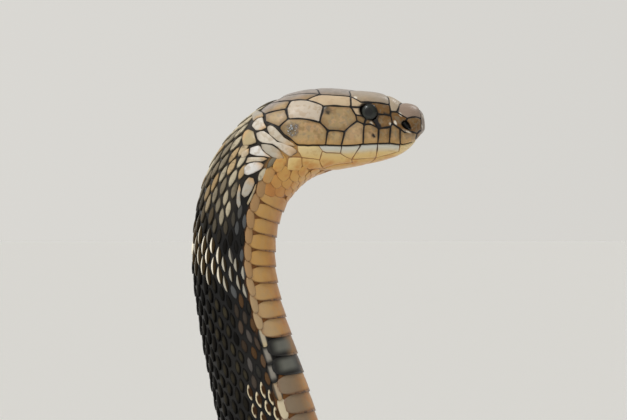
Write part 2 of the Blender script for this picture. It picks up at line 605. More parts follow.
def add_node(tree: bpy.types.NodeTree, kind: str, settings: dict | None = None,
             links: dict | None = None) -> bpy.types.Node:
    """Add a node with its settings and links.

    Args:
        tree: the material's node tree.
        kind: the node's type name.
        settings: attributes of the node.
        links: sockets by name or number, each with a value or another node's socket.

    Returns:
        The new node.
    """
    node = tree.nodes.new(kind)
    for key, value in (settings or {}).items():
        setattr(node, key, value)
    for key, value in (links or {}).items():
        if isinstance(value, bpy.types.NodeSocket):
            tree.links.new(value, node.inputs[key])
        else:
            node.inputs[key].default_value = value
    return node


def line_distance(spots: np.ndarray, lines: list[np.ndarray]) -> np.ndarray:
    """Return how far spots on the sheet lie from the nearest of the lines."""
    starts = np.concatenate([line[:-1] for line in lines])
    run = np.concatenate([line[1:] for line in lines]) - starts
    square = np.maximum((run ** 2).sum(axis=1), 1e-12)
    nearest = np.empty(len(spots))
    for first in range(0, len(spots), 2000):
        offset = spots[first:first + 2000, None] - starts
        share = np.clip((offset * run).sum(axis=2) / square, 0, 1)
        gap = offset - run * share[..., None]
        nearest[first:first + 2000] = np.sqrt((gap ** 2).sum(axis=2).min(axis=1))
    return nearest


def inside_outline(spots: np.ndarray, outline: np.ndarray) -> np.ndarray:
    """Return which spots lie inside a closed outline."""
    crossings = np.zeros(len(spots), int)
    for first, second in zip(outline, np.roll(outline, -1, axis=0)):
        spans = (first[1] > spots[:, 1]) != (second[1] > spots[:, 1])
        rise = second[1] - first[1]
        rise = rise if abs(rise) > 1e-12 else 1e-12
        reach = first[0] + (spots[:, 1] - first[1]) / rise * (second[0] - first[0])
        crossings += spans & (spots[:, 0] < reach)
    return crossings % 2 == 1


@dataclass
class HeadSheet:
    """One side of the head and nape laid flat, with its shields.

    Its places are true millimetres: along the profile, and round from the crown's midline.
    """

    surface: Surface
    end: float = 130.0
    fine_end: float = 92.0
    end_columns: int = 32
    grid_step: float = 1.15
    outer_step: float = 3.2
    seam_step: float = 0.95
    seam_offsets: tuple[float, ...] = (0.16, 0.38, 0.75)
    seam_depth: float = 0.45
    seam_half: float = 0.5
    mouth_depth: float = 1.3
    mouth_half: float = 0.75
    pillow: float = 0.24
    nostril_depth: float = 2.4
    nostril_rim: tuple[float, float, float] = (0.4, 1.25, 0.2)
    eye_rim: tuple[float, float, float] = (0.35, 1.15, 0.12)
    eye_pit: float = 2.5
    eye_half: tuple[float, float] = (4.9, 4.25)
    under: float = 0.6

    def __post_init__(self) -> None:
        """Place the corners and draw the seams."""
        surface = self.surface
        self.last = float(surface.to_sheet(np.array(self.end), np.array(0.0))[0])
        places = {name: surface.locate(spot, False) for name, spot in SIDE_CORNERS.items()}
        places.update({name: (surface.locate(spot, True)[0], 0.0 if spot[1] == 0 else
                              surface.locate(spot, True)[1])
                       for name, spot in CROWN_CORNERS.items()})
        places.update(THROAT_CORNERS)
        self.corners = {name: surface.to_sheet(*np.array(place)) for name, place in places.items()}
        draw = np.random.default_rng(SEAM_SEED)
        self.seams = []
        joined = set()
        for seam in (*SHIELD_SEAMS, SHIELD_EDGE):
            for ends in zip(seam, seam[1:]):
                if frozenset(ends) not in joined:
                    joined.add(frozenset(ends))
                    self.seams.append(self._bowed(*ends, draw.uniform(-0.03, 0.03)))
        self.edge = [self._bowed(*ends, 0.0) for ends in zip(SHIELD_EDGE, SHIELD_EDGE[1:])]
        lips = [self.corners["mouth_mid"], *(self.side_place(spot) for spot in MOUTH_LINE)]
        self.mouth = self._divide(np.array(lips))
        self.nostril = self.side_place(NOSTRIL_AT)
        self.eye = self.side_place(EYE_AT)
        crown = self._edge_line(0.0, 6.0, places[SHIELD_EDGE[0]][0])
        throat = self._edge_line(1.0, 4.0, places[SHIELD_EDGE[-1]][0])
        rear = np.array([self.corners[name] for name in SHIELD_EDGE])
        beyond = np.array([0.0, -5.0]), np.array([0.0, 5.0])
        self.outline = np.concatenate([[[-5.0, -5.0]], crown[-1:] + beyond[0], rear,
                                       throat[-1:] + beyond[1], [[-5.0, throat[-1, 1] + 5.0]]])

    def side_place(self, spot: tuple[float, float]) -> np.ndarray:
        """Return the sheet's place that is seen from the side at a spot of the head."""
        return self.surface.to_sheet(*np.array(self.surface.locate(spot, False)))

    def _edge_line(self, around: float, step: float, last: float) -> np.ndarray:
        """Return places along the crown's or the throat's midline."""
        along = np.linspace(0, last, max(int(last / step), 2))
        return self.surface.to_sheet(along, 0 * along + around)

    def _bowed(self, first: str, second: str, bow: float) -> np.ndarray:
        """Return a slightly curved line of points between two named corners."""
        start, stop = self.corners[first], self.corners[second]
        run = stop - start
        count = max(2, round(math.hypot(*run) / self.seam_step) + 1)
        share = np.linspace(0, 1, count)[:, None]
        middle = start[1] < 0.01 and stop[1] < 0.01
        across = np.array([-run[1], run[0]]) * (0.0 if middle else bow)
        return start + run * share + across * 4 * share * (1 - share)

    def _divide(self, line: np.ndarray) -> np.ndarray:
        """Return the line with points at the seams' step."""
        travel = np.concatenate([[0], np.cumsum(np.hypot(*np.diff(line, axis=0).T))])
        places = np.linspace(0, travel[-1], round(travel[-1] / self.seam_step) + 1)
        places = np.unique(np.concatenate([places, travel]))
        places = places[np.concatenate([[True], np.diff(places) > 0.05])]
        return np.stack([np.interp(places, travel, part) for part in line.T], 1)

    def shielded(self, spots: np.ndarray) -> np.ndarray:
        """Return how far spots belong to the shields, from 1 to 0 in the scales behind them."""
        beyond = 1 - soft_step(line_distance(spots, self.edge), 0.0, 0.7)
        return np.where(inside_outline(spots, self.outline), 1.0, beyond)

    def relief(self, spots: np.ndarray, seam: np.ndarray, lip: np.ndarray) -> np.ndarray:
        """Return the skin's lift at spots, given their distances to the seams and the mouth."""
        lift = self.seam_depth * (soft_step(seam, 0, self.seam_half) - 1)
        lift = lift + self.pillow * soft_step(seam, 0.3, 2.4)
        lift = lift + self.mouth_depth * (soft_step(lip, 0, self.mouth_half) - 1)
        nostril = self.nostril_reach(spots)
        lift = lift - self.nostril_depth * (1 - soft_step(nostril, 0.55, 1.0))
        lift = lift + ridge(nostril, *self.nostril_rim)
        eye = self.eye_reach(spots)
        lift = lift - self.eye_pit * (1 - soft_step(eye, 0.84, 1.0))
        lift = lift + ridge(eye, *self.eye_rim)
        share = self.shielded(spots)
        return lift * share - self.under * (1 - share)

    def nostril_reach(self, spots: np.ndarray) -> np.ndarray:
        """Return how far out of the nostril spots lie, 1 at its rim: its top is narrower."""
        across, down = ((spots - self.nostril) / NOSTRIL_HALF).T
        return np.hypot(across / (1 + 0.4 * np.clip(down, -1, 1)), down)

    def eye_reach(self, spots: np.ndarray) -> np.ndarray:
        """Return how far out of the eye's opening spots lie, 1 at its rim."""
        return np.hypot(*((spots - self.eye) / self.eye_half).T)

    def _rim(self) -> np.ndarray:
        """Return the sheet's outer points in order, from the snout round its four sides."""
        travel = np.concatenate([np.arange(0, self.fine_end, self.grid_step),
                                 np.linspace(self.fine_end, self.last, 13)])
        along = self.surface.from_sheet(np.stack([travel, 0 * travel], 1))[0]
        along[-1] = self.end
        named = [self.corners[name] for name in self.corners if self.corners[name][1] < 0.01]
        crown = np.concatenate([self.surface.to_sheet(along, 0 * along), named])
        crown = self._spaced(crown[np.argsort(crown[:, 0])], named)
        named = [self.corners[name] for name in THROAT_CORNERS]
        throat = np.concatenate([self.surface.to_sheet(along, 1 + 0 * along), named])
        throat = self._spaced(throat[np.argsort(throat[:, 0])], named)
        share = np.linspace(0, 1, self.end_columns + 1)
        rear = self.surface.to_sheet(np.full(len(share), self.end), share)
        return np.concatenate([crown[:-1], rear, throat[-2:0:-1]])

    def _spaced(self, line: np.ndarray, kept: list[np.ndarray]) -> np.ndarray:
        """Return a rim line without the points that crowd its named corners."""
        close = np.array([min(np.hypot(*(spot - corner)) for corner in kept) for spot in line])
        ends = np.zeros(len(line), bool)
        ends[[0, -1]] = True
        return line[(close < 1e-9) | (close > 0.4) | ends]

    def _inner(self, spots: np.ndarray, margin: float) -> np.ndarray:
        """Return which spots lie on the sheet by more than a margin."""
        girth = self.surface.sheet_girth(spots[:, 0])
        ends = (spots[:, 0] > 0.4) & (spots[:, 0] < self.last - margin)
        return ends & (spots[:, 1] > margin) & (spots[:, 1] < girth - margin)

    def _beside(self, line: np.ndarray, width: float) -> np.ndarray:
        """Return points beside a line at a width."""
        run = np.gradient(line, axis=0)
        run /= np.maximum(np.linalg.norm(run, axis=1, keepdims=True), 1e-9)
        return line + np.stack([-run[:, 1], run[:, 0]], 1) * width

    def _grid(self, step: float, reach: float) -> np.ndarray:
        """Return a triangular grid of spots."""
        rows = []
        top = self.surface.half_girth(np.arange(self.end)).max()
        for k, height in enumerate(np.arange(step * 0.6, top, step * 0.866)):
            places = np.arange(0.6 + (k % 2) * step / 2, reach, step)
            rows.append(np.stack([places, np.full(len(places), height)], 1))
        return np.concatenate(rows)

    def _rings(self) -> list[np.ndarray]:
        """Return rings of points round the nostril and the eye."""
        turns = np.linspace(0, 2 * math.pi, 29)[:-1]
        circle = np.stack([np.cos(turns), np.sin(turns)], 1)
        rings = [self.nostril + circle * NOSTRIL_HALF * size for size in (0.55, 0.75, 0.9, 1.05)]
        return rings + [self.eye + circle * self.eye_half * size
                        for size in (0.84, 0.9, 0.96, 1.02, 1.15)]

    def mesh(self) -> tuple[np.ndarray, np.ndarray, np.ndarray]:
        """Return the sheet's spots, its triangles, and the plate that each spot belongs to."""
        rim = self._rim()
        lines = [*self.seams, self.mouth]
        spots, edges, count = [rim], [], len(rim)
        for line in lines:
            edges.extend((count + k, count + k + 1) for k in range(len(line) - 1))
            spots.append(line)
            count += len(line)
        loose = [self._beside(line, side * width) for line in lines if len(line) > 2
                 for width in self.seam_offsets for side in (-1, 1)]
        widths = np.concatenate([np.full(len(line), width) for line in lines if len(line) > 2
                                 for width in self.seam_offsets for _ in (-1, 1)])
        loose = np.concatenate(loose)
        loose = loose[line_distance(loose, lines) > widths * 0.85]
        rings = np.concatenate(self._rings())
        rings = rings[line_distance(rings, lines) > 0.12]
        clear = self._clear_of_rings(loose)
        fine = self._grid(self.grid_step, 120.0)
        fine = fine[(self.shielded(fine) > 0.02) & self._clear_of_rings(fine)]
        fine = fine[line_distance(fine, lines) > self.seam_offsets[-1] + 0.35]
        coarse = self._grid(self.outer_step, 400.0)
        coarse = coarse[self.shielded(coarse) < 0.01]
        extra = np.concatenate([loose[clear], rings, fine])
        extra = np.concatenate([extra[self._inner(extra, 0.3)], coarse[self._inner(coarse, 1.2)]])
        spots = np.concatenate([*spots, extra])
        found = delaunay_2d_cdt([tuple(spot) for spot in spots.tolist()], edges,
                                [list(range(len(rim)))], 1, 0.01)
        corners = np.array([tuple(spot) for spot in found[0]])
        faces = np.array([tuple(face) for face in found[2]], int)
        barriers = {tuple(sorted(edge)) for edge, source in zip(found[1], found[4]) if source}
        return corners, faces, self._plates(corners, faces, barriers)

    def _clear_of_rings(self, spots: np.ndarray) -> np.ndarray:
        """Return which spots lie clear of the rings round the nostril and the eye."""
        nostril = np.hypot(*((spots - self.nostril) / NOSTRIL_HALF).T)
        eye = self.eye_reach(spots)
        return (nostril > 1.15) & ((eye > 1.23) | (eye < 0.76))

    def _plates(self, corners: np.ndarray, faces: np.ndarray, barriers: set) -> np.ndarray:
        """Number the plates, the patches of triangles that seams close in, for each spot."""
        neighbours: dict[tuple[int, int], list[int]] = {}
        for number, face in enumerate(faces.tolist()):
            for first, second in zip(face, face[1:] + face[:1]):
                edge = (min(first, second), max(first, second))
                if edge not in barriers:
                    neighbours.setdefault(edge, []).append(number)
        joins: list[list[int]] = [[] for _ in faces]
        pit = self.eye_reach(corners[faces].mean(axis=1)) < 1.0
        for pair in neighbours.values():
            if len(pair) == 2 and pit[pair[0]] == pit[pair[1]]:
                joins[pair[0]].append(pair[1])
                joins[pair[1]].append(pair[0])
        label = np.full(len(faces), -1)
        plate = 0
        for start in range(len(faces)):
            if label[start] < 0:
                waiting = [start]
                label[start] = plate
                while waiting:
                    for other in joins[waiting.pop()]:
                        if label[other] < 0:
                            label[other] = plate
                            waiting.append(other)
                plate += 1
        owner = np.zeros(len(corners), int)
        owner[faces.ravel()] = np.repeat(label, 3)
        return owner


@dataclass(frozen=True)
class HeadColours:
    """Where the head is pale, dark or cream, by spots seen from the side in mm."""

    plate_tints: dict = field(default_factory=lambda: {
        "grey_pink": (((64.6, 6.0), 0.8), ((80.0, 5.0), 0.25)),
        "fawn": (((16.5, 8.6), 0.95), ((26.0, 11.6), 0.50)),
        "snout": (((7.5, 6.0), 0.9),),
        "peach": (((50.0, 11.8), 0.75), ((38.2, 10.9), 0.7), ((36.8, 6.4), 0.6),
                  ((46.5, 1.5), 0.15), ((38.5, -8.0), 0.25)),
        "milky": (((50.0, -14.5), 0.95), ((40.0, -15.0), 0.85), ((29.0, -14.0), 1.0),
                  ((19.0, -13.5), 0.8)),
        "browned": (((80.0, 5.0), 0.05), ((13.5, -8.0), 0.45), ((7.0, -2.0), 0.60),
                    ((14.0, 0.5), 0.85), ((22.0, -7.5), 0.45), ((16.5, -7.5), 0.32),
                    ((29.5, -9.0), 0.25), ((22.0, 1.0), 0.65), ((21.8, 7.2), 0.80),
                    ((34.8, 1.8), 0.30), ((29.5, 0.4), 0.60), ((1.4, -1.0), 0.55)),
    })
    dark_spots: tuple = (
        ((52.5, 6.7), 2.7, 0.46), ((53.7, 8.0), 1.9, 0.52), ((52.7, 5.3), 1.5, 0.62),
        ((27.0, 1.2), 1.9, 1.0), ((25.4, -1.5), 1.9, 1.0), ((21.8, 5.0), 1.2, 0.6),
        ((27.9, -7.0), 0.9, 1.0), ((28.5, -7.9), 0.6, 0.8), ((29.6, -5.6), 1.6, 0.35),
        ((72.6, -3.9), 3.2, 0.45), ((76.6, -2.6), 2.4, 0.35), ((20.0, 4.2), 1.4, 0.5))
    pale_chips: tuple = (
        ((13.3, 4.6), 1.1, 1.0), ((16.0, 0.0), 1.1, 0.9), ((1.1, 3.4), 0.9, 0.9),
        ((1.4, -1.8), 0.9, 0.8), ((54.4, 8.2), 1.0, 0.7), ((63.2, 11.9), 1.3, 0.5),
        ((37.6, 13.7), 1.0, 0.8), ((18.5, -0.9), 1.0, 0.7), ((29.1, 0.0), 1.1, 0.6))
    scar: tuple = ((72.2, -3.9), 3.0)


@dataclass
class Skin:
    """The one skin from snout to tail, with the head shields in relief."""

    surface: Surface
    sheet: HeadSheet
    markings: Markings
    colours: HeadColours = HeadColours()
    row_step: float = 7.0
    raised_step: float = 4.0
    head_bake: tuple[float, float, float, float] = (0.02, 152.0, 0.61, 205.0)
    strip: float = 530.0
    lane_pitch: float = 0.031
    lane_width: float = 0.029

    def build(self) -> bpy.types.Object:
        """Build the skin piece."""
        spots, faces, plates = self.sheet.mesh()
        seam = line_distance(spots, self.sheet.seams)
        lip = line_distance(spots, [self.sheet.mouth])
        lift = self.sheet.relief(spots, seam, lip)
        along, around = self.surface.from_sheet(spots)
        around = np.clip(around, 0, 1)
        shades = self._head_shades(spots, plates, seam, lip)
        points, corner_faces, bake, parts = [], [], [], []
        for side in (1, -1):
            points.append(self.surface.at(along, around * side, lift))
            corner_faces.append((faces if side > 0 else faces[:, ::-1]) + len(spots) * (side < 0))
            bake.append(self._head_bake(spots * (1, side)))
            parts.append((along, around * side))
        loft, quads, loft_bake, places = self._loft(2 * len(spots))
        points.append(loft)
        bake.append(loft_bake)
        parts.append(places)
        where = [np.concatenate(values) for values in zip(*parts)]
        marks = self.markings.at(*where)
        for key, values in shades.items():
            rest = np.full(len(loft), FLAT_SHADES.get(key, 0.0))
            marks[key] = np.concatenate([values, values, rest])
        head = np.concatenate([self.sheet.shielded(spots)] * 2 + [np.zeros(len(loft))])
        marks["head"] = head
        return mesh_object("skin", np.concatenate(points), [np.concatenate(corner_faces), quads],
                           marks, np.concatenate(bake), weld=True)

    def _head_bake(self, places: np.ndarray) -> np.ndarray:
        """Return where the head's spots lie on the bake map."""
        left, wide, low, high = self.head_bake
        return np.stack([left + places[:, 0] / wide, low + places[:, 1] / high], 1)

    def _loft(self, offset: int) -> tuple:
        """Return the trunk's points, quads, bake places and places from the nape to the tail."""
        raised = np.arange(self.sheet.end, NECK_END, self.raised_step)
        rows = np.concatenate([raised, np.arange(NECK_END, TOTAL_LENGTH, self.row_step)])
        rows = np.append(rows, TOTAL_LENGTH - 0.2)
        columns = 2 * self.sheet.end_columns
        share = np.linspace(-1, 1, columns + 1)
        along, around = np.meshgrid(rows, share, indexing="ij")
        under = np.minimum(self.sheet.under, self.surface.half_girth(along) * 0.06)
        points = self.surface.at(along.ravel(), around.ravel(), -under.ravel())
        quads = grid_quads(len(rows) - 1, columns) + offset
        strip = (rows - self.sheet.end) / self.strip
        lane = np.floor(strip[:, None] + 0 * share)
        across = 0.008 + lane * self.lane_pitch + (share[None] + 1) / 2 * self.lane_width
        bake = np.stack([0.01 + (strip[:, None] - lane) * 0.97, across], -1).reshape(-1, 2)
        return points, quads, bake, (along.ravel(), around.ravel())

    def _head_shades(self, spots: np.ndarray, plates: np.ndarray, seam: np.ndarray,
                     lip: np.ndarray) -> Shades:
        """Return the head's own shades at spots of the sheet."""
        draw = np.random.default_rng(SHIELD_SEED)
        tone = draw.uniform(0, 1, plates.max() + 1)[plates]
        down = spots[:, 1]
        top = 1 - soft_step(down, 11, 24)
        line = self.sheet.mouth
        below = down - np.interp(spots[:, 0], line[:, 0], line[:, 1])
        thin = 1 + 0.5 * (1 - soft_step(down, 10, 17)) + 0.5 * soft_step(below, -1, 1)
        thin = thin * (1 + 0.3 * np.sin(spots[:, 0] * 0.55 + 1.3) * np.cos(down * 0.62 + 0.4))
        shades = {"seam": np.minimum(seam * thin, 4), "lip": np.minimum(lip, 4), "tone": tone,
                  "top": top, "below": np.clip((below + 10) / 40, 0, 1)}
        for name, marked in self.colours.plate_tints.items():
            shades[name] = self._marked(spots, plates, marked)
        for name, marks in (("dark", self.colours.dark_spots), ("chips", self.colours.pale_chips)):
            shades[name] = np.zeros(len(spots))
            for spot, radius, strength in marks:
                reach = np.hypot(*(spots - self.sheet.side_place(spot)).T) / radius
                shades[name] = np.maximum(shades[name], strength * np.exp(-reach ** 3))
        spot, radius = self.colours.scar
        reach = np.hypot(*(spots - self.sheet.side_place(spot)).T) / radius
        shades["scar"] = np.exp(-reach ** 2)
        nostril = self.sheet.nostril_reach(spots)
        ahead, low = ((spots - self.sheet.nostril) / NOSTRIL_HALF).T
        shades["hole"] = 1 - soft_step(nostril, 0.8, 1.05)
        shades["flap"] = (np.exp(-((nostril - 1.28) / 0.18) ** 2 - (ahead / 0.8) ** 4)
                          * soft_step(low, 0.4, 0.9))
        eye = self.sheet.eye_reach(spots)
        shades["orbit"] = 1 - soft_step(eye, 1.05, 1.28)
        return shades

    def _marked(self, spots: np.ndarray, plates: np.ndarray, marked: tuple) -> np.ndarray:
        """Return the strength of a tint on the plates that lie at marked spots."""
        strength = np.zeros(plates.max() + 1)
        for spot, amount in marked:
            nearest = np.argmin(np.hypot(*(spots - self.sheet.side_place(spot)).T))
            strength[plates[nearest]] = amount
        return strength[plates]


# What the trunk's skin shows where it has no shields: no seams, no lips
FLAT_SHADES = {"seam": 4.0, "lip": 4.0, "tone": 0.5}


@dataclass(frozen=True)
class PlateShape:
    """How one plate of horn is drawn: its grid, its outline and its lifts in mm."""

    rows: int = 6
    columns: int = 5
    corner: float = 1.5
    root_lift: float = -0.5
    tip_lift: float = 0.35
    crown: float = 0.4
    buried: float = 1.2
    bow: float = 0.0

    def grid(self) -> tuple[np.ndarray, np.ndarray, np.ndarray]:
        """Return the places of the plate's top in its unit outline, its quads and its rim."""
        count = self.columns + 1
        along, across = np.meshgrid(np.linspace(-1, 1, self.rows + 1),
                                    np.linspace(-1, 1, count), indexing="ij")
        x = (along * np.sqrt(1 - across ** 2 / 2)).ravel()
        y = (across * np.sqrt(1 - along ** 2 / 2)).ravel()
        turn = np.arctan2(y, x)
        bulk = np.abs(np.cos(turn)) ** self.corner + np.abs(np.sin(turn)) ** self.corner
        places = np.stack([x, y], 1) * (bulk ** (-1 / self.corner))[:, None]
        quads = grid_quads(self.rows, self.columns)
        left = np.arange(self.rows) * count
        near = self.rows * count + np.arange(self.columns)
        right = (np.arange(self.rows, 0, -1)) * count + self.columns
        rim = np.concatenate([left, near, right, np.arange(self.columns, 0, -1)])
        reach = np.maximum(np.abs(along), np.abs(across)).ravel()
        return np.column_stack([places, reach]), quads, rim

    def lift(self, places: np.ndarray) -> np.ndarray:
        """Return the top's lift at its places: it climbs to the tip and is arched."""
        climb = (places[:, 0] + 1) / 2
        arch = self.crown * (1 - places[:, 2] ** 2)
        return self.root_lift + (self.tip_lift - self.root_lift) * climb + arch


# Scales of the neck, the raised front, the lying body and the lowest flank row, the throat's and
# the jowl's plates, and the scutes of the raised front and of the lying belly
FINE = PlateShape(rows=12, columns=9, corner=1.45, tip_lift=0.4, crown=0.5)
MIDDLING = PlateShape(rows=7, columns=6)
COARSE = PlateShape()
WIDE = PlateShape(rows=8, columns=8, corner=2.5, root_lift=-0.4, tip_lift=0.45, crown=0.30)
SMALL = PlateShape(rows=12, columns=10, corner=2.9, root_lift=-0.3, tip_lift=0.16, crown=0.14)
JOWL = PlateShape(rows=16, columns=14, corner=2.0, root_lift=-0.1, tip_lift=0.35, crown=0.5)
RAISED = PlateShape(rows=7, columns=26, corner=3.1, root_lift=-0.3, tip_lift=0.7, crown=0.12,
                    bow=0.3)
LYING = PlateShape(rows=4, columns=14, corner=5.0, root_lift=-0.3, tip_lift=0.7, crown=0.1,
                   buried=1.0, bow=1.2)


@dataclass
class PlateField:
    """A piece made of many plates that are rooted in the skin.

    Middles are on the flat sheet of both sides in mm, lengths and breadths are in mm and turns in
    radians.
    """

    surface: Surface
    shape: PlateShape
    middles: np.ndarray
    lengths: np.ndarray
    breadths: np.ndarray
    turns: np.ndarray
    raised: np.ndarray
    reaches: np.ndarray | None = None

    def build(self, name: str, markings: Markings, extra: Shades) -> bpy.types.Object:
        """Build the piece.

        Args:
            name: the piece's name.
            markings: the animal's markings, which colour each plate.
            extra: further shades, one value for each plate.

        Returns:
            The new object.
        """
        places, quads, rim = self.shape.grid()
        stretch = self._stretch(places)
        along = places[:, 0] * stretch * self.lengths[:, None] / 2
        across = places[:, 1] * stretch * self.breadths[:, None] / 2
        along = along + self.shape.bow * (1 - places[:, 1] ** 2)
        cos, sin = np.cos(self.turns)[:, None], np.sin(self.turns)[:, None]
        sheet = np.stack([self.middles[:, :1] + along * cos - across * sin,
                          self.middles[:, 1:] + along * sin + across * cos], -1)
        where = self.surface.from_sheet(sheet)
        top = self.shape.lift(places)[None] * self.raised[:, None]
        edge = [part[:, rim] for part in where]
        base = np.full(edge[0].shape, -self.shape.buried) * np.minimum(self.raised, 1)[:, None]
        points = np.concatenate([self.surface.at(*where, top),
                                 self.surface.at(*edge, base)], axis=1)
        count, size = len(self.middles), points.shape[1]
        lower = len(places) + np.arange(len(rim))
        ahead, lower_ahead = np.roll(rim, -1), np.roll(lower, -1)
        walls = np.stack([rim, lower, lower_ahead, ahead], 1)
        offset = np.arange(count)[:, None, None] * size
        quads = (np.concatenate([quads, walls])[None] + offset).reshape(-1, 4)
        floors = (lower[::-1][None] + offset[:, 0]).reshape(count, -1)
        shades = self._shades(places, rim, markings, extra)
        return mesh_object(name, points.reshape(-1, 3), [quads, floors], shades,
                           self._bake(sheet, rim), weld=False)

    def _stretch(self, places: np.ndarray) -> np.ndarray:
        """Return how far each plate's own outline stretches the round one at its places."""
        if self.reaches is None:
            return np.ones((len(self.middles), len(places)))
        turn = np.arctan2(places[:, 1], places[:, 0]) / (2 * math.pi) % 1
        known = np.linspace(0, 1, self.reaches.shape[1] + 1)
        return np.array([np.interp(turn, known, np.append(row, row[0])) for row in self.reaches])

    def _shades(self, places: np.ndarray, rim: np.ndarray, markings: Markings,
                extra: Shades) -> Shades:
        """Return the plates' shades, the same over each plate but for its rim and its length."""
        middle = self.surface.from_sheet(self.middles)
        size = len(places) + len(rim)
        shades = {key: np.repeat(values, size)
                  for key, values in {**markings.at(*middle), **extra}.items()}
        reach = np.concatenate([places[:, 2], np.full(len(rim), 1.0)])
        climb = np.concatenate([places[:, 0], places[rim, 0]]) / 2 + 0.5
        inner = np.concatenate([places[:, 1], places[rim, 1]])
        shades["reach"] = np.tile(reach, len(self.middles))
        shades["climb"] = np.tile(climb, len(self.middles))
        shades["inner"] = (-np.sign(self.middles[:, 1:] + 1e-6) * inner).ravel()
        shades["side"] = np.tile(np.abs(inner), len(self.middles))
        return shades

    def _bake(self, sheet: np.ndarray, rim: np.ndarray) -> np.ndarray:
        """Return where the plates' corners lie on the bake map, each plate on its own patch."""
        low = sheet.reshape(-1, 2).min(axis=0)
        span = sheet.reshape(-1, 2).max(axis=0) - low
        shrunk = self.middles[:, None] + (sheet - self.middles[:, None]) * 0.8
        flat = (shrunk - low) / span * 0.98 + 0.01
        return np.concatenate([flat, flat[:, rim]], axis=1).reshape(-1, 2)


class Slot(Enum):
    """The record's material slots."""

    HEAD = "head_shields"
    LIPS = "lip_scales"
    EYE = "eye_spectacle"
    NECK = "neck_scales"
    BODY = "body_scales"
    TAIL = "tail_scales"


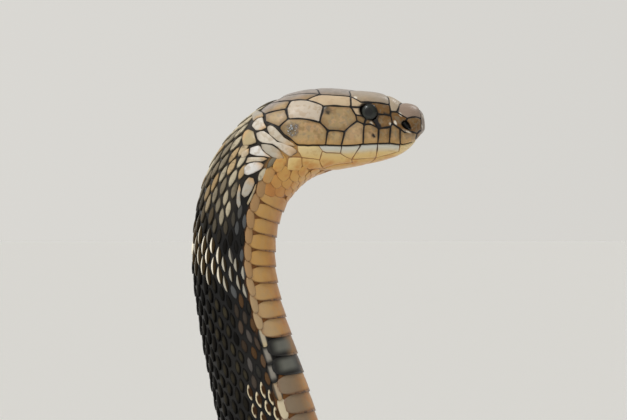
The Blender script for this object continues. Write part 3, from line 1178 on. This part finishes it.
@dataclass
class Coat:
    """Lays out the scales of the back and the throat and the scutes of the belly.

    Breadth and length are a back scale's shares of its place where the skin shows between them,
    and what they gain where they close up.
    """

    surface: Surface
    sheet: HeadSheet
    markings: Markings
    back_rows: int = 23
    crowding: float = 0.85
    breadth: tuple[float, float] = (0.82, 0.50)
    length: tuple[float, float] = (0.90, 0.22)
    tail_rows: int = 11
    tip_rows: int = 7
    full_girth: float = 30.0
    period: Stations = ((50, 8.8), (110, 9.6), (250, 10.2), (600, 11.5), (900, 13), (2100, 13),
                        (VENT, 11), (3000, 8.5), (TOTAL_LENGTH, 4.5))
    scute_pitch: Stations = ((100, 9.4), (150, 10.2), (250, 11), (330, 11), (TOUCH_DOWN, 11),
                             (1400, 11), (VENT, 10), (3000, 8), (TOTAL_LENGTH, 5))
    scales_from: float = 60.0
    scales_to: float = 3290.0
    scutes_from: float = 104.0
    scute_phase: float = 0.37
    jowl_gap: float = 0.10
    throat_step: tuple[float, float] = (7.6, 6.2)

    def __post_init__(self) -> None:
        """Place the large plates behind the jaw, which the others keep clear of."""
        self.jowl = [np.array([self.sheet.side_place(spot) for spot in outline])
                     for outline, _ in JOWL_PLATES]

    def _numbered(self, start: float, end: float, steps: Stations, offset: float) -> np.ndarray:
        """Return distances along between start and end, a varying step apart."""
        places = np.arange(40, TOTAL_LENGTH - 6, 1.0)
        phase = np.concatenate([[0], np.cumsum(1 / smooth_value(places[1:], steps))])
        first = math.ceil(float(np.interp(start, places, phase)) - offset)
        last = float(np.interp(end, places, phase)) - offset
        return np.interp(np.arange(first, last) + offset, phase, places)

    def _clear(self, middles: np.ndarray, margin: float) -> np.ndarray:
        """Return which middles lie clear of the shields and of the large scales at the jaw."""
        girth = self.surface.sheet_girth(middles[:, 0])
        folded = np.abs(middles[:, 1])
        folded = np.where(folded > girth, 2 * girth - folded, folded)
        spots = np.stack([middles[:, 0], folded], 1)
        clear = ~inside_outline(spots, self.sheet.outline)
        clear &= line_distance(spots, self.sheet.edge) > margin
        for plate in self.jowl:
            clear &= ~inside_outline(spots, plate)
            clear &= line_distance(spots, [np.append(plate, plate[:1], axis=0)]) > margin * 0.35
        return clear

    def _thick(self, girth: np.ndarray) -> np.ndarray:
        """Return how thick plates are, from 0 to 1: thinner where the body is thin."""
        return np.minimum(1.0, girth / self.full_girth)

    def back(self, name: str, start: float, end: float, rows: int,
             shape: PlateShape) -> bpy.types.Object:
        """Build the scales of the back and flanks over one stretch of the body."""
        draw = np.random.default_rng(int(start))
        half = rows // 2
        along, number = [], []
        for row in range(-half, half + 1):
            along.append(self._numbered(start, end, self.period, 0.5 * (row % 2)))
            number.append(np.full(len(along[-1]), row))
        along, number = np.concatenate(along), np.concatenate(number)
        girth = self.surface.half_girth(along)
        limit = smooth_value(along, ROWS_EDGE if rows == self.back_rows else SCUTE_EDGE)
        if rows == self.tip_rows:
            limit = np.ones(len(along))
        rank = np.abs(number) / (half + 0.5)
        share = np.sign(number) * limit * rank ** self.crowding
        crowd = self.crowding * np.maximum(rank, 0.06) ** (self.crowding - 1)
        spacing = limit * girth * crowd / (half + 0.5)
        closed = np.maximum(soft_step(along, 300, 800), 0.45 * (1 - soft_step(along, 96, 130)))
        count = len(along)
        breadths = spacing * (self.breadth[0] + self.breadth[1] * closed)
        breadths = breadths * draw.uniform(0.88, 1.10, count)
        lengths = smooth_value(along, self.period) * (self.length[0] + self.length[1] * closed)
        lengths = lengths * draw.uniform(0.88, 1.06, count)
        middles = self.surface.to_sheet(along, share)
        middles += draw.normal(0, 1, middles.shape) * spacing[:, None] * 0.06
        turns = np.sign(number) * 0.08 * (1 - 0.6 * closed) + draw.normal(0, 0.05, count)
        keep = self._clear(middles, 2.2)
        plates = PlateField(self.surface, shape, middles[keep], lengths[keep], breadths[keep],
                            turns[keep], self._thick(girth)[keep])
        shades = {"tone": draw.uniform(0, 1, count)[keep], "warm": draw.uniform(0, 1, count)[keep],
                  "far": soft_step(along, 300, 700)[keep]}
        return plates.build(name, self.markings, shades)

    def flank(self, name: str, start: float, end: float, shape: PlateShape) -> bpy.types.Object:
        """Build the wide scales between the back's rows and the belly, one row on each side."""
        draw = np.random.default_rng(int(start) + 2)
        found = self._numbered(start, end, self.period, 0.25)
        along = np.concatenate([found, found])
        side = np.repeat([1, -1], len(found))
        girth = self.surface.half_girth(along)
        low, high = smooth_value(along, ROWS_EDGE), smooth_value(along, SCUTE_EDGE)
        middles = self.surface.to_sheet(along, (low + high) / 2 * side)
        middles += draw.normal(0, 0.2, middles.shape)
        keep = self._clear(middles, 3.0)
        count = keep.sum()
        period = smooth_value(along, self.period)
        plates = PlateField(self.surface, shape, middles[keep],
                            period[keep] * draw.uniform(1.12, 1.26, count),
                            ((high - low) * girth * 1.25)[keep] * draw.uniform(0.95, 1.08, count),
                            (0.10 * side)[keep] + draw.normal(0, 0.04, count),
                            self._thick(girth)[keep])
        far = soft_step(along, 300, 700)[keep]
        return plates.build(name, self.markings,
                            {"tone": draw.uniform(0, 1, count), "warm": draw.uniform(0, 1, count),
                             "flank": np.ones(count), "far": far})

    def throat(self) -> bpy.types.Object:
        """Build the small flat scales of the throat."""
        draw = np.random.default_rng(THROAT_SEED)
        step, across = self.throat_step
        middles = []
        for k, travel in enumerate(np.arange(46, 118, step / 2)):
            girth = self.surface.sheet_girth(travel)
            reach = 0.47 * girth
            lanes = np.arange(-math.floor(reach / across / 2) * 2, reach / across, 2) + k % 2
            lanes = lanes[np.abs(lanes * across) < reach]
            middles.append(np.stack([np.full(len(lanes), travel), girth + lanes * across], 1))
        middles = np.concatenate(middles)
        middles += draw.normal(0, 0.35, middles.shape)
        along = self.surface.from_sheet(middles)[0]
        girth = self.surface.sheet_girth(middles[:, 0])
        offside = np.abs(middles[:, 1] - girth) / girth
        edge = np.interp(along, [60, 84, 104], [0.6, 0.5, 0.42])
        keep = self._clear(middles, 2.6) & (offside < edge)
        keep &= along < self.scutes_from + 13 * soft_step(offside, 0.22, 0.36) - 0.4
        count = keep.sum()
        plates = PlateField(self.surface, SMALL, middles[keep],
                            draw.uniform(1.20, 1.36, count) * step,
                            draw.uniform(1.28, 1.46, count) * across,
                            draw.normal(0, 0.14, count), np.ones(count))
        return plates.build("throat_scales", self.markings,
                            {"tone": draw.uniform(0, 1, count), "small": np.ones(count)})

    def jowl_plates(self) -> bpy.types.Object:
        """Build the large pale plates behind the jaw, on both sides."""
        middles, sizes, turns, reaches = [], [], [], []
        rays = np.linspace(0, 2 * math.pi, 73)[:-1]
        rays = np.stack([np.cos(rays), np.sin(rays)], 1)
        for outline in self.jowl:
            for side in (1, -1):
                corners = outline * (1, side)
                middle = self._middle(corners)
                axis = np.linalg.svd(corners - corners.mean(axis=0))[2][0]
                axis = axis * (1 if axis[0] > 0 else -1)
                turned = (corners - middle) @ np.array([axis, (-axis[1], axis[0])]).T
                middle = middle + self._middle(turned) @ np.array([axis, (-axis[1], axis[0])])
                turned = turned - self._middle(turned)
                size = np.ptp(turned, axis=0)
                middles.append(middle)
                sizes.append(size - 2 * self.jowl_gap)
                turns.append(math.atan2(axis[1], axis[0]))
                reaches.append(self._reach(turned / (size / 2), rays))
        sizes = np.array(sizes)
        plates = PlateField(self.surface, JOWL,
                            np.array(middles), sizes[:, 0], sizes[:, 1], np.array(turns),
                            np.ones(len(middles)), np.array(reaches))
        tints = np.repeat([tint for _, tint in JOWL_PLATES], 2, axis=0)
        return plates.build("jowl_scales", self.markings,
                            dict(zip(("milky", "ochre", "grey"), tints.T)))

    def _middle(self, corners: np.ndarray) -> np.ndarray:
        """Return the middle of an outline's box."""
        return (corners.min(axis=0) + corners.max(axis=0)) / 2

    def _reach(self, outline: np.ndarray, rays: np.ndarray) -> np.ndarray:
        """Return how far from the middle an outline lies along each ray, lightly smoothed."""
        run = np.roll(outline, -1, axis=0) - outline
        cross = rays[:, None, 0] * run[:, 1] - rays[:, None, 1] * run[:, 0]
        cross = np.where(np.abs(cross) < 1e-9, 1e-9, cross)
        far = (outline[:, 0] * run[:, 1] - outline[:, 1] * run[:, 0]) / cross
        place = (outline[:, 0] * rays[:, None, 1] - outline[:, 1] * rays[:, None, 0]) / cross
        far = np.where((place >= 0) & (place <= 1) & (far > 0), far, 0.0).max(axis=1)
        return (np.roll(far, 1) + 2 * far + np.roll(far, -1)) / 4

    def belly(self, name: str, start: float, end: float, shape: PlateShape) -> bpy.types.Object:
        """Build the scutes of the belly over one stretch of the body."""
        draw = np.random.default_rng(int(start) + 1)
        along = self._numbered(start, end, self.scute_pitch, self.scute_phase)
        pitch = smooth_value(along, self.scute_pitch)
        edge = smooth_value(along, SCUTE_EDGE)
        girth = self.surface.half_girth(along)
        middles = self.surface.to_sheet(along, 1 + 0 * along)
        count = len(along)
        plates = PlateField(self.surface, shape, middles, pitch * 1.24,
                            2 * (1 - edge) * girth * draw.uniform(1.03, 1.07, count),
                            draw.normal(0, 0.004, count), self._thick(girth))
        return plates.build(name, self.markings,
                            {"tone": draw.uniform(0, 1, count), "scute": np.ones(count),
                             "far": soft_step(along, 300, 900)})


@dataclass(frozen=True)
class EyeBall:
    """One eye under its clear spectacle: a flattened ball that fills its pit in the skin."""

    radius: float = EYE_RADIUS
    dome: float = EYE_DOME
    rings: int = 40

    def build(self, name: str, surface: Surface, side: int) -> bpy.types.Object:
        """Build the eye on one side.

        Args:
            name: the piece's name.
            surface: the animal's surface.
            side: 1 for the right eye and -1 for the left.

        Returns:
            The new object.
        """
        along, around = surface.locate(EYE_AT, False)
        seat = surface.at(np.array(along), np.array(around * side), 0.0)
        centre = seat + np.array([0.0, side * EYE_SINK, 0.0])
        turn = np.linspace(0, 2 * math.pi, 2 * self.rings + 1)[:-1]
        polar = np.linspace(0, math.pi, self.rings + 1)
        polar, turn = np.meshgrid(polar, turn, indexing="ij")
        flat = np.sin(polar)
        unit = np.stack([flat * np.cos(turn), flat * np.sin(turn), np.cos(polar)], -1)
        points = centre + unit.reshape(-1, 3) * (self.radius, self.dome, self.radius)
        i, j = np.meshgrid(np.arange(self.rings), np.arange(2 * self.rings), indexing="ij")
        first, ahead = i * 2 * self.rings + j, i * 2 * self.rings + (j + 1) % (2 * self.rings)
        quads = np.stack([first, ahead, ahead + 2 * self.rings, first + 2 * self.rings], -1)
        quads = quads.reshape(-1, 4)[:, ::-1]
        bake = np.stack([polar / math.pi, turn / 2 / math.pi], -1).reshape(-1, 2)
        shades = {"reach": np.hypot(unit[..., 0], unit[..., 2]).ravel()}
        return mesh_object(name, points, [quads], shades, bake, weld=True)


def per_metre(size: float) -> float:
    """Return a pattern's scale for features of a size in mm."""
    return 1 / (size * MM)


@dataclass(frozen=True)
class Mask:
    """Where a colour lies: a span of the values of a shade, or of a cloudy pattern.

    The source is a shade's name or the size of the clouds in mm. A span that falls is reversed.
    """

    source: str | float
    low: float = 0.0
    high: float = 1.0


@dataclass(frozen=True)
class Layer:
    """A colour laid over the ones before it where all its masks are strong."""

    colour: str
    masks: tuple[Mask, ...]
    strength: float = 1.0


def paint(tree: bpy.types.NodeTree, base: str,
          layers: tuple[Layer, ...]) -> bpy.types.NodeSocket:
    """Lay colours over a base colour.

    Args:
        tree: the material's node tree.
        base: the hex colour under all the others.
        layers: the colours laid over it, in order.

    Returns:
        The socket of the finished colour.
    """
    place = add_node(tree, "ShaderNodeTexCoord").outputs["Object"]
    sources: dict[str | float, bpy.types.NodeSocket] = {}
    colour: object = linear(base)
    for layer in layers:
        share: object = layer.strength
        for mask in layer.masks:
            if mask.source not in sources:
                if isinstance(mask.source, str):
                    node = add_node(tree, "ShaderNodeAttribute", {"attribute_name": mask.source})
                else:
                    node = add_node(tree, "ShaderNodeTexNoise", None,
                                    {"Vector": place, "Scale": per_metre(mask.source),
                                     "Detail": 4.0})
                sources[mask.source] = node.outputs["Fac"]
            step = add_node(tree, "ShaderNodeMapRange", {"interpolation_type": "SMOOTHSTEP"},
                            {0: sources[mask.source], 1: mask.low, 2: mask.high})
            share = add_node(tree, "ShaderNodeMath", {"operation": "MULTIPLY"},
                             {0: step.outputs[0], 1: share}).outputs[0]
        colour = add_node(tree, "ShaderNodeMix", {"data_type": "RGBA"},
                          {0: share, 6: colour, 7: linear(layer.colour)}).outputs[2]
    return colour


@dataclass(frozen=True)
class Horn:
    """Keratin, the clear horn that grows over coloured skin as shields, scales and scutes.

    It gives the eye a soft satin shine, broken by fine wear, over a colour that seems to lie
    just under the surface.
    """

    name: str
    base: str
    layers: tuple[Layer, ...]
    roughness: float = 0.38
    wear_size: float = 1.0
    wear_depth: float = 0.04
    gloss: float = 0.4

    def material(self) -> bpy.types.Material:
        """Build the material."""
        material, tree, shader = new_material(self.name)
        place = add_node(tree, "ShaderNodeTexCoord").outputs["Object"]
        fine = add_node(tree, "ShaderNodeTexNoise", None,
                        {"Vector": place, "Scale": per_metre(self.wear_size), "Detail": 5.0})
        bump = add_node(tree, "ShaderNodeBump", None,
                        {"Height": fine.outputs["Fac"], "Distance": self.wear_depth * MM})
        broad = add_node(tree, "ShaderNodeTexNoise", None,
                         {"Vector": place, "Scale": per_metre(4.0), "Detail": 3.0})
        rough = add_node(tree, "ShaderNodeMapRange", None,
                         {0: broad.outputs["Fac"], 1: 0.3, 2: 0.7, 3: self.roughness - 0.06,
                          4: self.roughness + 0.08})
        tree.links.new(bump.outputs[0], shader.inputs["Normal"])
        tree.links.new(rough.outputs[0], shader.inputs["Roughness"])
        tree.links.new(paint(tree, self.base, self.layers), shader.inputs["Base Color"])
        shader.inputs["IOR"].default_value = 1.54
        shader.inputs["Specular IOR Level"].default_value = self.gloss
        return material


# Head shields: smooth thick horn, grey-mauve on the crown and tan on the cheeks, with black skin
# in the seams. Below the mouth it turns cream and orange, and its seams are brown but for the
# milky shields of the lip.
HEAD_HORN = Horn("head_shield_horn", "8A7450", (
    Layer("B59A6E", (Mask("tone"),)),
    Layer("64400F", (Mask("browned"), Mask(6.0, 0.20, 0.50)), 0.92),
    Layer("72522B", (Mask(5.0, 0.46, 0.60),), 0.45),
    Layer("BE9870", (Mask(3.4, 0.49, 0.61), Mask("browned", 0.9, 0.2)), 0.50),
    Layer("7A7464", (Mask(2.3, 0.51, 0.62),), 0.45),
    Layer("6E4E27", (Mask("seam", 2.6, 0.6),), 0.45),
    Layer("8C8683", (Mask("top"), Mask("browned", 0.9, 0.4)), 0.85),
    Layer("A89A90", (Mask("top"), Mask(3.0, 0.47, 0.60), Mask("browned", 0.9, 0.4)), 0.50),
    Layer("AE9E88", (Mask("fawn"),)),
    Layer("937F70", (Mask("snout"),)),
    Layer("C8BBAA", (Mask("grey_pink"),)),
    Layer("AE977C", (Mask("grey_pink"), Mask(2.8, 0.49, 0.60)), 0.60),
    Layer("CAB496", (Mask("peach"),)),
    Layer("B5997A", (Mask("peach"), Mask(2.8, 0.49, 0.60)), 0.45),
    Layer("BE955A", (Mask("below", 0.12, 0.235), Mask("browned", 0.8, 0.2)), 0.65),
    Layer("D3BD8C", (Mask("below", 0.245, 0.255),)),
    Layer("D6B777", (Mask("below", 0.30, 0.46),)),
    Layer("BE8D4C", (Mask("below", 0.44, 0.60),), 0.6),
    Layer("BC7A38", (Mask("below", 0.40, 0.55), Mask(5.0, 0.42, 0.66)), 0.6),
    Layer("B58A4E", (Mask("below", 0.26, 0.32), Mask(2.6, 0.52, 0.72)), 0.4),
    Layer("C6C8C2", (Mask("milky"), Mask("below", 0.245, 0.255), Mask("below", 0.40, 0.28)), 0.9),
    Layer("4A505A", (Mask("scar", 0.05, 0.4), Mask(3.0, 0.35, 0.6)), 0.7),
    Layer("DCE8F0", (Mask("scar", 0.2, 0.8), Mask(1.0, 0.54, 0.62))),
    Layer("E6DFD0", (Mask("chips", 0.1, 0.8),), 0.9),
    Layer("171517", (Mask("dark", 0.1, 0.7),)),
    Layer("12100F", (Mask("seam", 0.72, 0.24), Mask("below", 0.26, 0.22))),
    Layer("7E4722", (Mask("seam", 0.62, 0.10), Mask("below", 0.245, 0.255)), 0.85),
    Layer("241C19", (Mask("seam", 0.66, 0.12), Mask("below", 0.245, 0.255),
                     Mask("milky", 0.3, 0.7), Mask("below", 0.44, 0.34)), 0.85),
    Layer("20150E", (Mask("lip", 0.75, 0.2),)),
    Layer("120E0C", (Mask("orbit"),), 0.9),
    Layer("E8DCC8", (Mask("flap"),), 0.9),
    Layer("040403", (Mask("hole"),)),
    Layer("050404", (Mask("head", 1.0, 0.0),)),
    Layer("2B251D", (Mask("head", 1.0, 0.0), Mask("tan")), 0.8),
    Layer("7A4E24", (Mask("head", 1.0, 0.0), Mask("belly"))),
    Layer("BC9054", (Mask("head", 1.0, 0.0), Mask("belly"), Mask("jaw")), 0.85),
    Layer("12100E", (Mask("head", 1.0, 0.0), Mask("black", 0.2, 0.7))),
), 0.36, 0.8, 0.06, 0.24)

# Back scales: thin smooth horn, grey-tan on the nape, then near-black with olive-brown middles. In
# a crossband each has a cream streak on its upper side, and lower on the flank a cream rim.
BACK_HORN = Horn("back_scale_horn", "070605", (
    Layer("211D15", (Mask("tone"), Mask("reach", 0.95, 0.25))),
    Layer("3F3929", (Mask("olive"), Mask("tone"), Mask("reach", 0.95, 0.25)), 0.7),
    Layer("1E1914", (Mask("far"),)),
    Layer("453829", (Mask("far"), Mask("tone"))),
    Layer("786E5C", (Mask("tan"),)),
    Layer("BFB49B", (Mask("tan"), Mask("tone", 0.1, 0.9))),
    Layer("B48F57", (Mask("tan"), Mask("warm", 0.65, 0.95)), 0.55),
    Layer("3A342A", (Mask("tan"), Mask(3.5, 0.5, 0.7)), 0.5),
    Layer("5A5C5E", (Mask("border"), Mask("tone", 0.2, 1.0), Mask("far", 0.3, 0.1)), 0.8),
    Layer("5A4026", (Mask("rust"), Mask("warm", 0.1, 0.8)), 0.9),
    Layer("C39558", (Mask("belly"), Mask("tan", 0.6, 0.2)), 0.8),
    Layer("0E0C0A", (Mask("reach", 0.72, 1.0),), 0.65),
    Layer("3A2D18", (Mask("pale"), Mask("far", 0.6, 0.2)), 0.9),
    Layer("FBF3DF", (Mask("pale"), Mask("inner", -0.15, 0.30), Mask("far", 0.6, 0.2))),
    Layer("CFC3A4", (Mask("pale"), Mask("far"))),
    Layer("3A2614", (Mask("ringed"),)),
    Layer("E0D2B2", (Mask("ringed"), Mask("reach", 0.42, 0.78), Mask("inner", -0.5, 0.3))),
), 0.42, 1.2, 0.03, 0.07)

# Throat scales and belly scutes: polished horn, orange with darker rear edges, crossed by a black
# band whose scutes keep grey middles.
BELLY_HORN = Horn("belly_scute_horn", "C18B47", (
    Layer("A9672A", (Mask(7.0, 0.35, 0.7),), 0.6),
    Layer("A06228", (Mask("tone"),), 0.25),
    Layer("C0964E", (Mask("scute"), Mask("side", 0.25, 0.85)), 0.7),
    Layer("A89C86", (Mask("scute"), Mask("side", 0.30, 0.90), Mask("cool", -0.3, 1.0)), 0.75),
    Layer("A58E70", (Mask("scute"), Mask("cool", -0.6, 1.3), Mask(4.0, 0.47, 0.58)), 0.5),
    Layer("64564A", (Mask("scute"), Mask("side", 0.20, 0.62), Mask("cool", 0.74, 0.94)), 0.65),
    Layer("9E7C53", (Mask("flank"),), 0.92),
    Layer("AF9774", (Mask("flank"), Mask("cool", 0.0, 0.4)), 0.8),
    Layer("C6BCA8", (Mask("flank"), Mask("ringed")), 0.85),
    Layer("735837", (Mask("flank"), Mask("tone", 0.45, 1.0)), 0.75),
    Layer("D0C09A", (Mask("flank"), Mask("warm", 0.28, 0.12), Mask("cool", 0.02, 0.2)), 0.8),
    Layer("C5984F", (Mask("jaw"),), 0.9),
    Layer("B9773A", (Mask("jaw"), Mask(5.0, 0.47, 0.60)), 0.5),
    Layer("5F574A", (Mask("far"),)),
    Layer("0F0D0B", (Mask("black", 0.6, 0.95),)),
    Layer("0F0D0B", (Mask("black", 0.2, 0.6), Mask("side", 0.30, 0.65))),
    Layer("72736B", (Mask("black", 0.3, 0.7), Mask("scute"), Mask("side", 0.22, 0.55),
                     Mask("side", 0.95, 0.72), Mask("climb", 0.12, 0.40),
                     Mask("climb", 0.88, 0.60), Mask("far", 0.3, 0.1)), 0.75),
    Layer("A39D92", (Mask("black"), Mask("flank"), Mask("reach", 0.85, 0.30)), 0.65),
    Layer("7F5C30", (Mask("black"), Mask("scute"), Mask("side", 0.40, 0.05),
                     Mask(2.6, 0.45, 0.55)), 0.7),
    Layer("7E4319", (Mask("small"), Mask("reach", 0.86, 1.0)), 0.55),
    Layer("74481D", (Mask("scute"), Mask("climb", 0.80, 0.93), Mask("black", 0.7, 0.3)), 0.75),
    Layer("2E1C0F", (Mask("scute"), Mask("climb", 0.84, 0.96), Mask(2.0, 0.52, 0.60)), 0.9),
    Layer("6E4522", (Mask("reach", 0.90, 1.0), Mask("black", 0.7, 0.3)), 0.5),
), 0.36, 2.0, 0.03, 0.35)

# Plates behind the jaw: the same polished horn over pale skin, cream to white with tan front ends.
JOWL_HORN = Horn("jowl_plate_horn", "C6B598", (
    Layer("DBD8D4", (Mask("milky"),)),
    Layer("A9935E", (Mask("ochre"),)),
    Layer("9F9B91", (Mask("grey"),)),
    Layer("C99D62", (Mask("climb", 0.45, 0.02),), 0.75),
    Layer("A58E6C", (Mask(3.4, 0.50, 0.62),), 0.40),
    Layer("7C6A55", (Mask("reach", 0.66, 0.98),), 0.40),
    Layer("14100D", (Mask("reach", 0.93, 1.0),), 0.85),
), 0.34, 1.5, 0.03)


@dataclass(frozen=True)
class EyeFinish:
    """A live eye under its spectacle, a clear dome of horn: wet-looking, dark and grey-green."""

    pupil: str = "0B0D0C"
    iris: str = "20241F"
    rim: str = "060605"

    def material(self) -> bpy.types.Material:
        """Build the material."""
        material, tree, shader = new_material("eye_spectacle")
        colour = paint(tree, self.pupil, (Layer(self.iris, (Mask("reach", 0.40, 0.50),)),
                                          Layer(self.rim, (Mask("reach", 0.66, 0.86),))))
        tree.links.new(colour, shader.inputs["Base Color"])
        shader.inputs["Roughness"].default_value = 0.30
        shader.inputs["IOR"].default_value = 1.38
        shader.inputs["Coat Weight"].default_value = 0.12
        shader.inputs["Coat Roughness"].default_value = 0.10
        return material


@dataclass(frozen=True)
class Lamp:
    """A soft round light: its offset from the head and its size in m, and its power in W."""

    name: str
    offset: tuple[float, float, float]
    size: float
    power: float


@dataclass(frozen=True)
class Studio:
    """Pale floor, soft lights and a camera with the photograph's framing."""

    distance: float = 6.0
    sensor: float = 36.0
    floor_reach: float = 200.0
    floor_gap: float = 0.0004
    floor: str = "F7F7F6"
    world: str = "E6E4DF"
    horizon: float = 0.96
    zenith: float = 1.05
    left: float = 1.38
    right: float = 0.42
    lamps: tuple[Lamp, ...] = (Lamp("key", (-0.75, -1.0, 1.70), 0.45, 15.0),
                               Lamp("rim", (1.0, 1.1, 1.35), 0.7, 7.0),
                               Lamp("fill", (0.9, -1.6, 0.5), 1.2, 1.0))

    def build(self, surface: Surface) -> None:
        """Build the floor, the world, the lights and the camera."""
        snout = Vector(surface.snout * MM)
        across = (PICTURE[0] / 2 - SNOUT_PIXEL[0]) * PIXEL_MM * MM
        down = (PICTURE[1] / 2 - SNOUT_PIXEL[1]) * PIXEL_MM * MM
        target = snout + Vector((across, 0, -down))
        data = bpy.data.cameras.new("camera")
        data.sensor_width = self.sensor
        data.lens = self.sensor * self.distance / (PICTURE[0] * PIXEL_MM * MM)
        camera = place_object("camera", data)
        camera.location = target + Vector((0, -self.distance, 0))
        camera.rotation_euler = (math.pi / 2, 0, 0)
        bpy.context.scene.camera = camera
        bpy.context.scene.view_settings.view_transform = "Standard"
        self._floor()
        self._world()
        for lamp in self.lamps:
            self._light(lamp, target)

    def _floor(self) -> None:
        """Build the floor."""
        reach = self.floor_reach
        corners = [(-reach, -reach, 0), (reach, -reach, 0), (reach, reach, 0), (-reach, reach, 0)]
        mesh = bpy.data.meshes.new("floor")
        mesh.from_pydata(corners, [], [(0, 1, 2, 3)])
        floor = place_object("floor", mesh)
        floor.location.z = -self.floor_gap
        material, _, shader = new_material("studio_floor")
        shader.inputs["Base Color"].default_value = linear(self.floor)
        shader.inputs["Roughness"].default_value = 0.8
        mesh.materials.append(material)

    def _world(self) -> None:
        """Set a pale surround, brighter above and behind the animal than before its snout."""
        world = bpy.data.worlds.new("surround")
        world.use_nodes = True
        tree = world.node_tree
        way = add_node(tree, "ShaderNodeTexCoord").outputs["Generated"]
        parts = add_node(tree, "ShaderNodeSeparateXYZ", None, {0: way}).outputs
        height = add_node(tree, "ShaderNodeMapRange", {"interpolation_type": "SMOOTHSTEP"},
                          {0: parts["Z"], 1: 0.0, 2: 0.8, 3: self.horizon, 4: self.zenith})
        across = add_node(tree, "ShaderNodeMapRange", None,
                          {0: parts["X"], 1: -0.9, 2: 0.9, 3: self.left, 4: self.right})
        strength = add_node(tree, "ShaderNodeMath", {"operation": "MULTIPLY"},
                            {0: height.outputs[0], 1: across.outputs[0]})
        back = tree.nodes["Background"]
        back.inputs["Color"].default_value = linear(self.world)
        tree.links.new(strength.outputs[0], back.inputs["Strength"])
        bpy.context.scene.world = world

    def _light(self, lamp: Lamp, target: Vector) -> None:
        """Add a soft round light that faces the head."""
        data = bpy.data.lights.new(lamp.name, "AREA")
        data.shape = "DISK"
        data.size = lamp.size
        data.energy = lamp.power
        light = place_object(lamp.name, data)
        light.location = target + Vector(lamp.offset)
        light.rotation_euler = (target - light.location).to_track_quat("-Z", "Y").to_euler()
        light.visible_camera = False


def dress(piece: bpy.types.Object, material: bpy.types.Material) -> None:
    """Give a piece its material and slot, and let it ride on the body."""
    piece.data.materials.append(material)
    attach(piece, "root")
    triangles = sum(len(polygon.vertices) - 2 for polygon in piece.data.polygons)
    log.info("%s: %d triangles", piece.name, triangles)


def main() -> None:
    """Build the animal and its studio."""
    logging.basicConfig(level=logging.INFO, format="%(message)s")
    surface = Surface()
    sheet = HeadSheet(surface)
    markings = Markings()
    skin = Skin(surface, sheet, markings).build()
    dress(skin, HEAD_HORN.material())
    fleshy = [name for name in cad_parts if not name.startswith("eye_")]
    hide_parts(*fleshy)
    eye = EyeFinish().material()
    for name, side in (("eye_right", 1), ("eye_left", -1)):
        ball = EyeBall().build(name + "_ball", surface, side)
        dress(ball, eye)
        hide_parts(name)
    coat = Coat(surface, sheet, markings)
    back = BACK_HORN.material()
    belly = BELLY_HORN.material()
    cuts = np.linspace(TOUCH_DOWN, VENT, 5)
    pieces = (
        (coat.back, "neck_scales", coat.scales_from, NECK_END, coat.back_rows, FINE,
         back, Slot.NECK),
        (coat.back, "rise_scales", NECK_END, TOUCH_DOWN, coat.back_rows, MIDDLING,
         back, Slot.NECK),
        (coat.flank, "neck_flank_scales", coat.scales_from, TOUCH_DOWN, WIDE, belly, Slot.NECK),
        *((coat.back, f"body_scales_{number}", *ends, coat.back_rows, COARSE, back, Slot.BODY)
          for number, ends in enumerate(zip(cuts, cuts[1:]), 1)),
        (coat.flank, "body_flank_scales", TOUCH_DOWN, VENT, COARSE, back, Slot.BODY),
        (coat.back, "tail_scales", VENT, TAIL_TIP, coat.tail_rows, COARSE, back, Slot.TAIL),
        (coat.back, "tail_tip_scales", TAIL_TIP, coat.scales_to, coat.tip_rows, COARSE,
         back, Slot.TAIL),
        (coat.throat, belly, Slot.LIPS),
        (coat.jowl_plates, JOWL_HORN.material(), Slot.LIPS),
        (coat.belly, "raised_scutes", coat.scutes_from, TOUCH_DOWN, RAISED, belly, Slot.NECK),
        (coat.belly, "lying_scutes", TOUCH_DOWN, TAIL_TIP, LYING, belly, Slot.BODY))
    for build, *stretch, material, slot in pieces:
        dress(build(*stretch), material)
    Studio().build(surface)


if __name__ == "__main__":
    main()
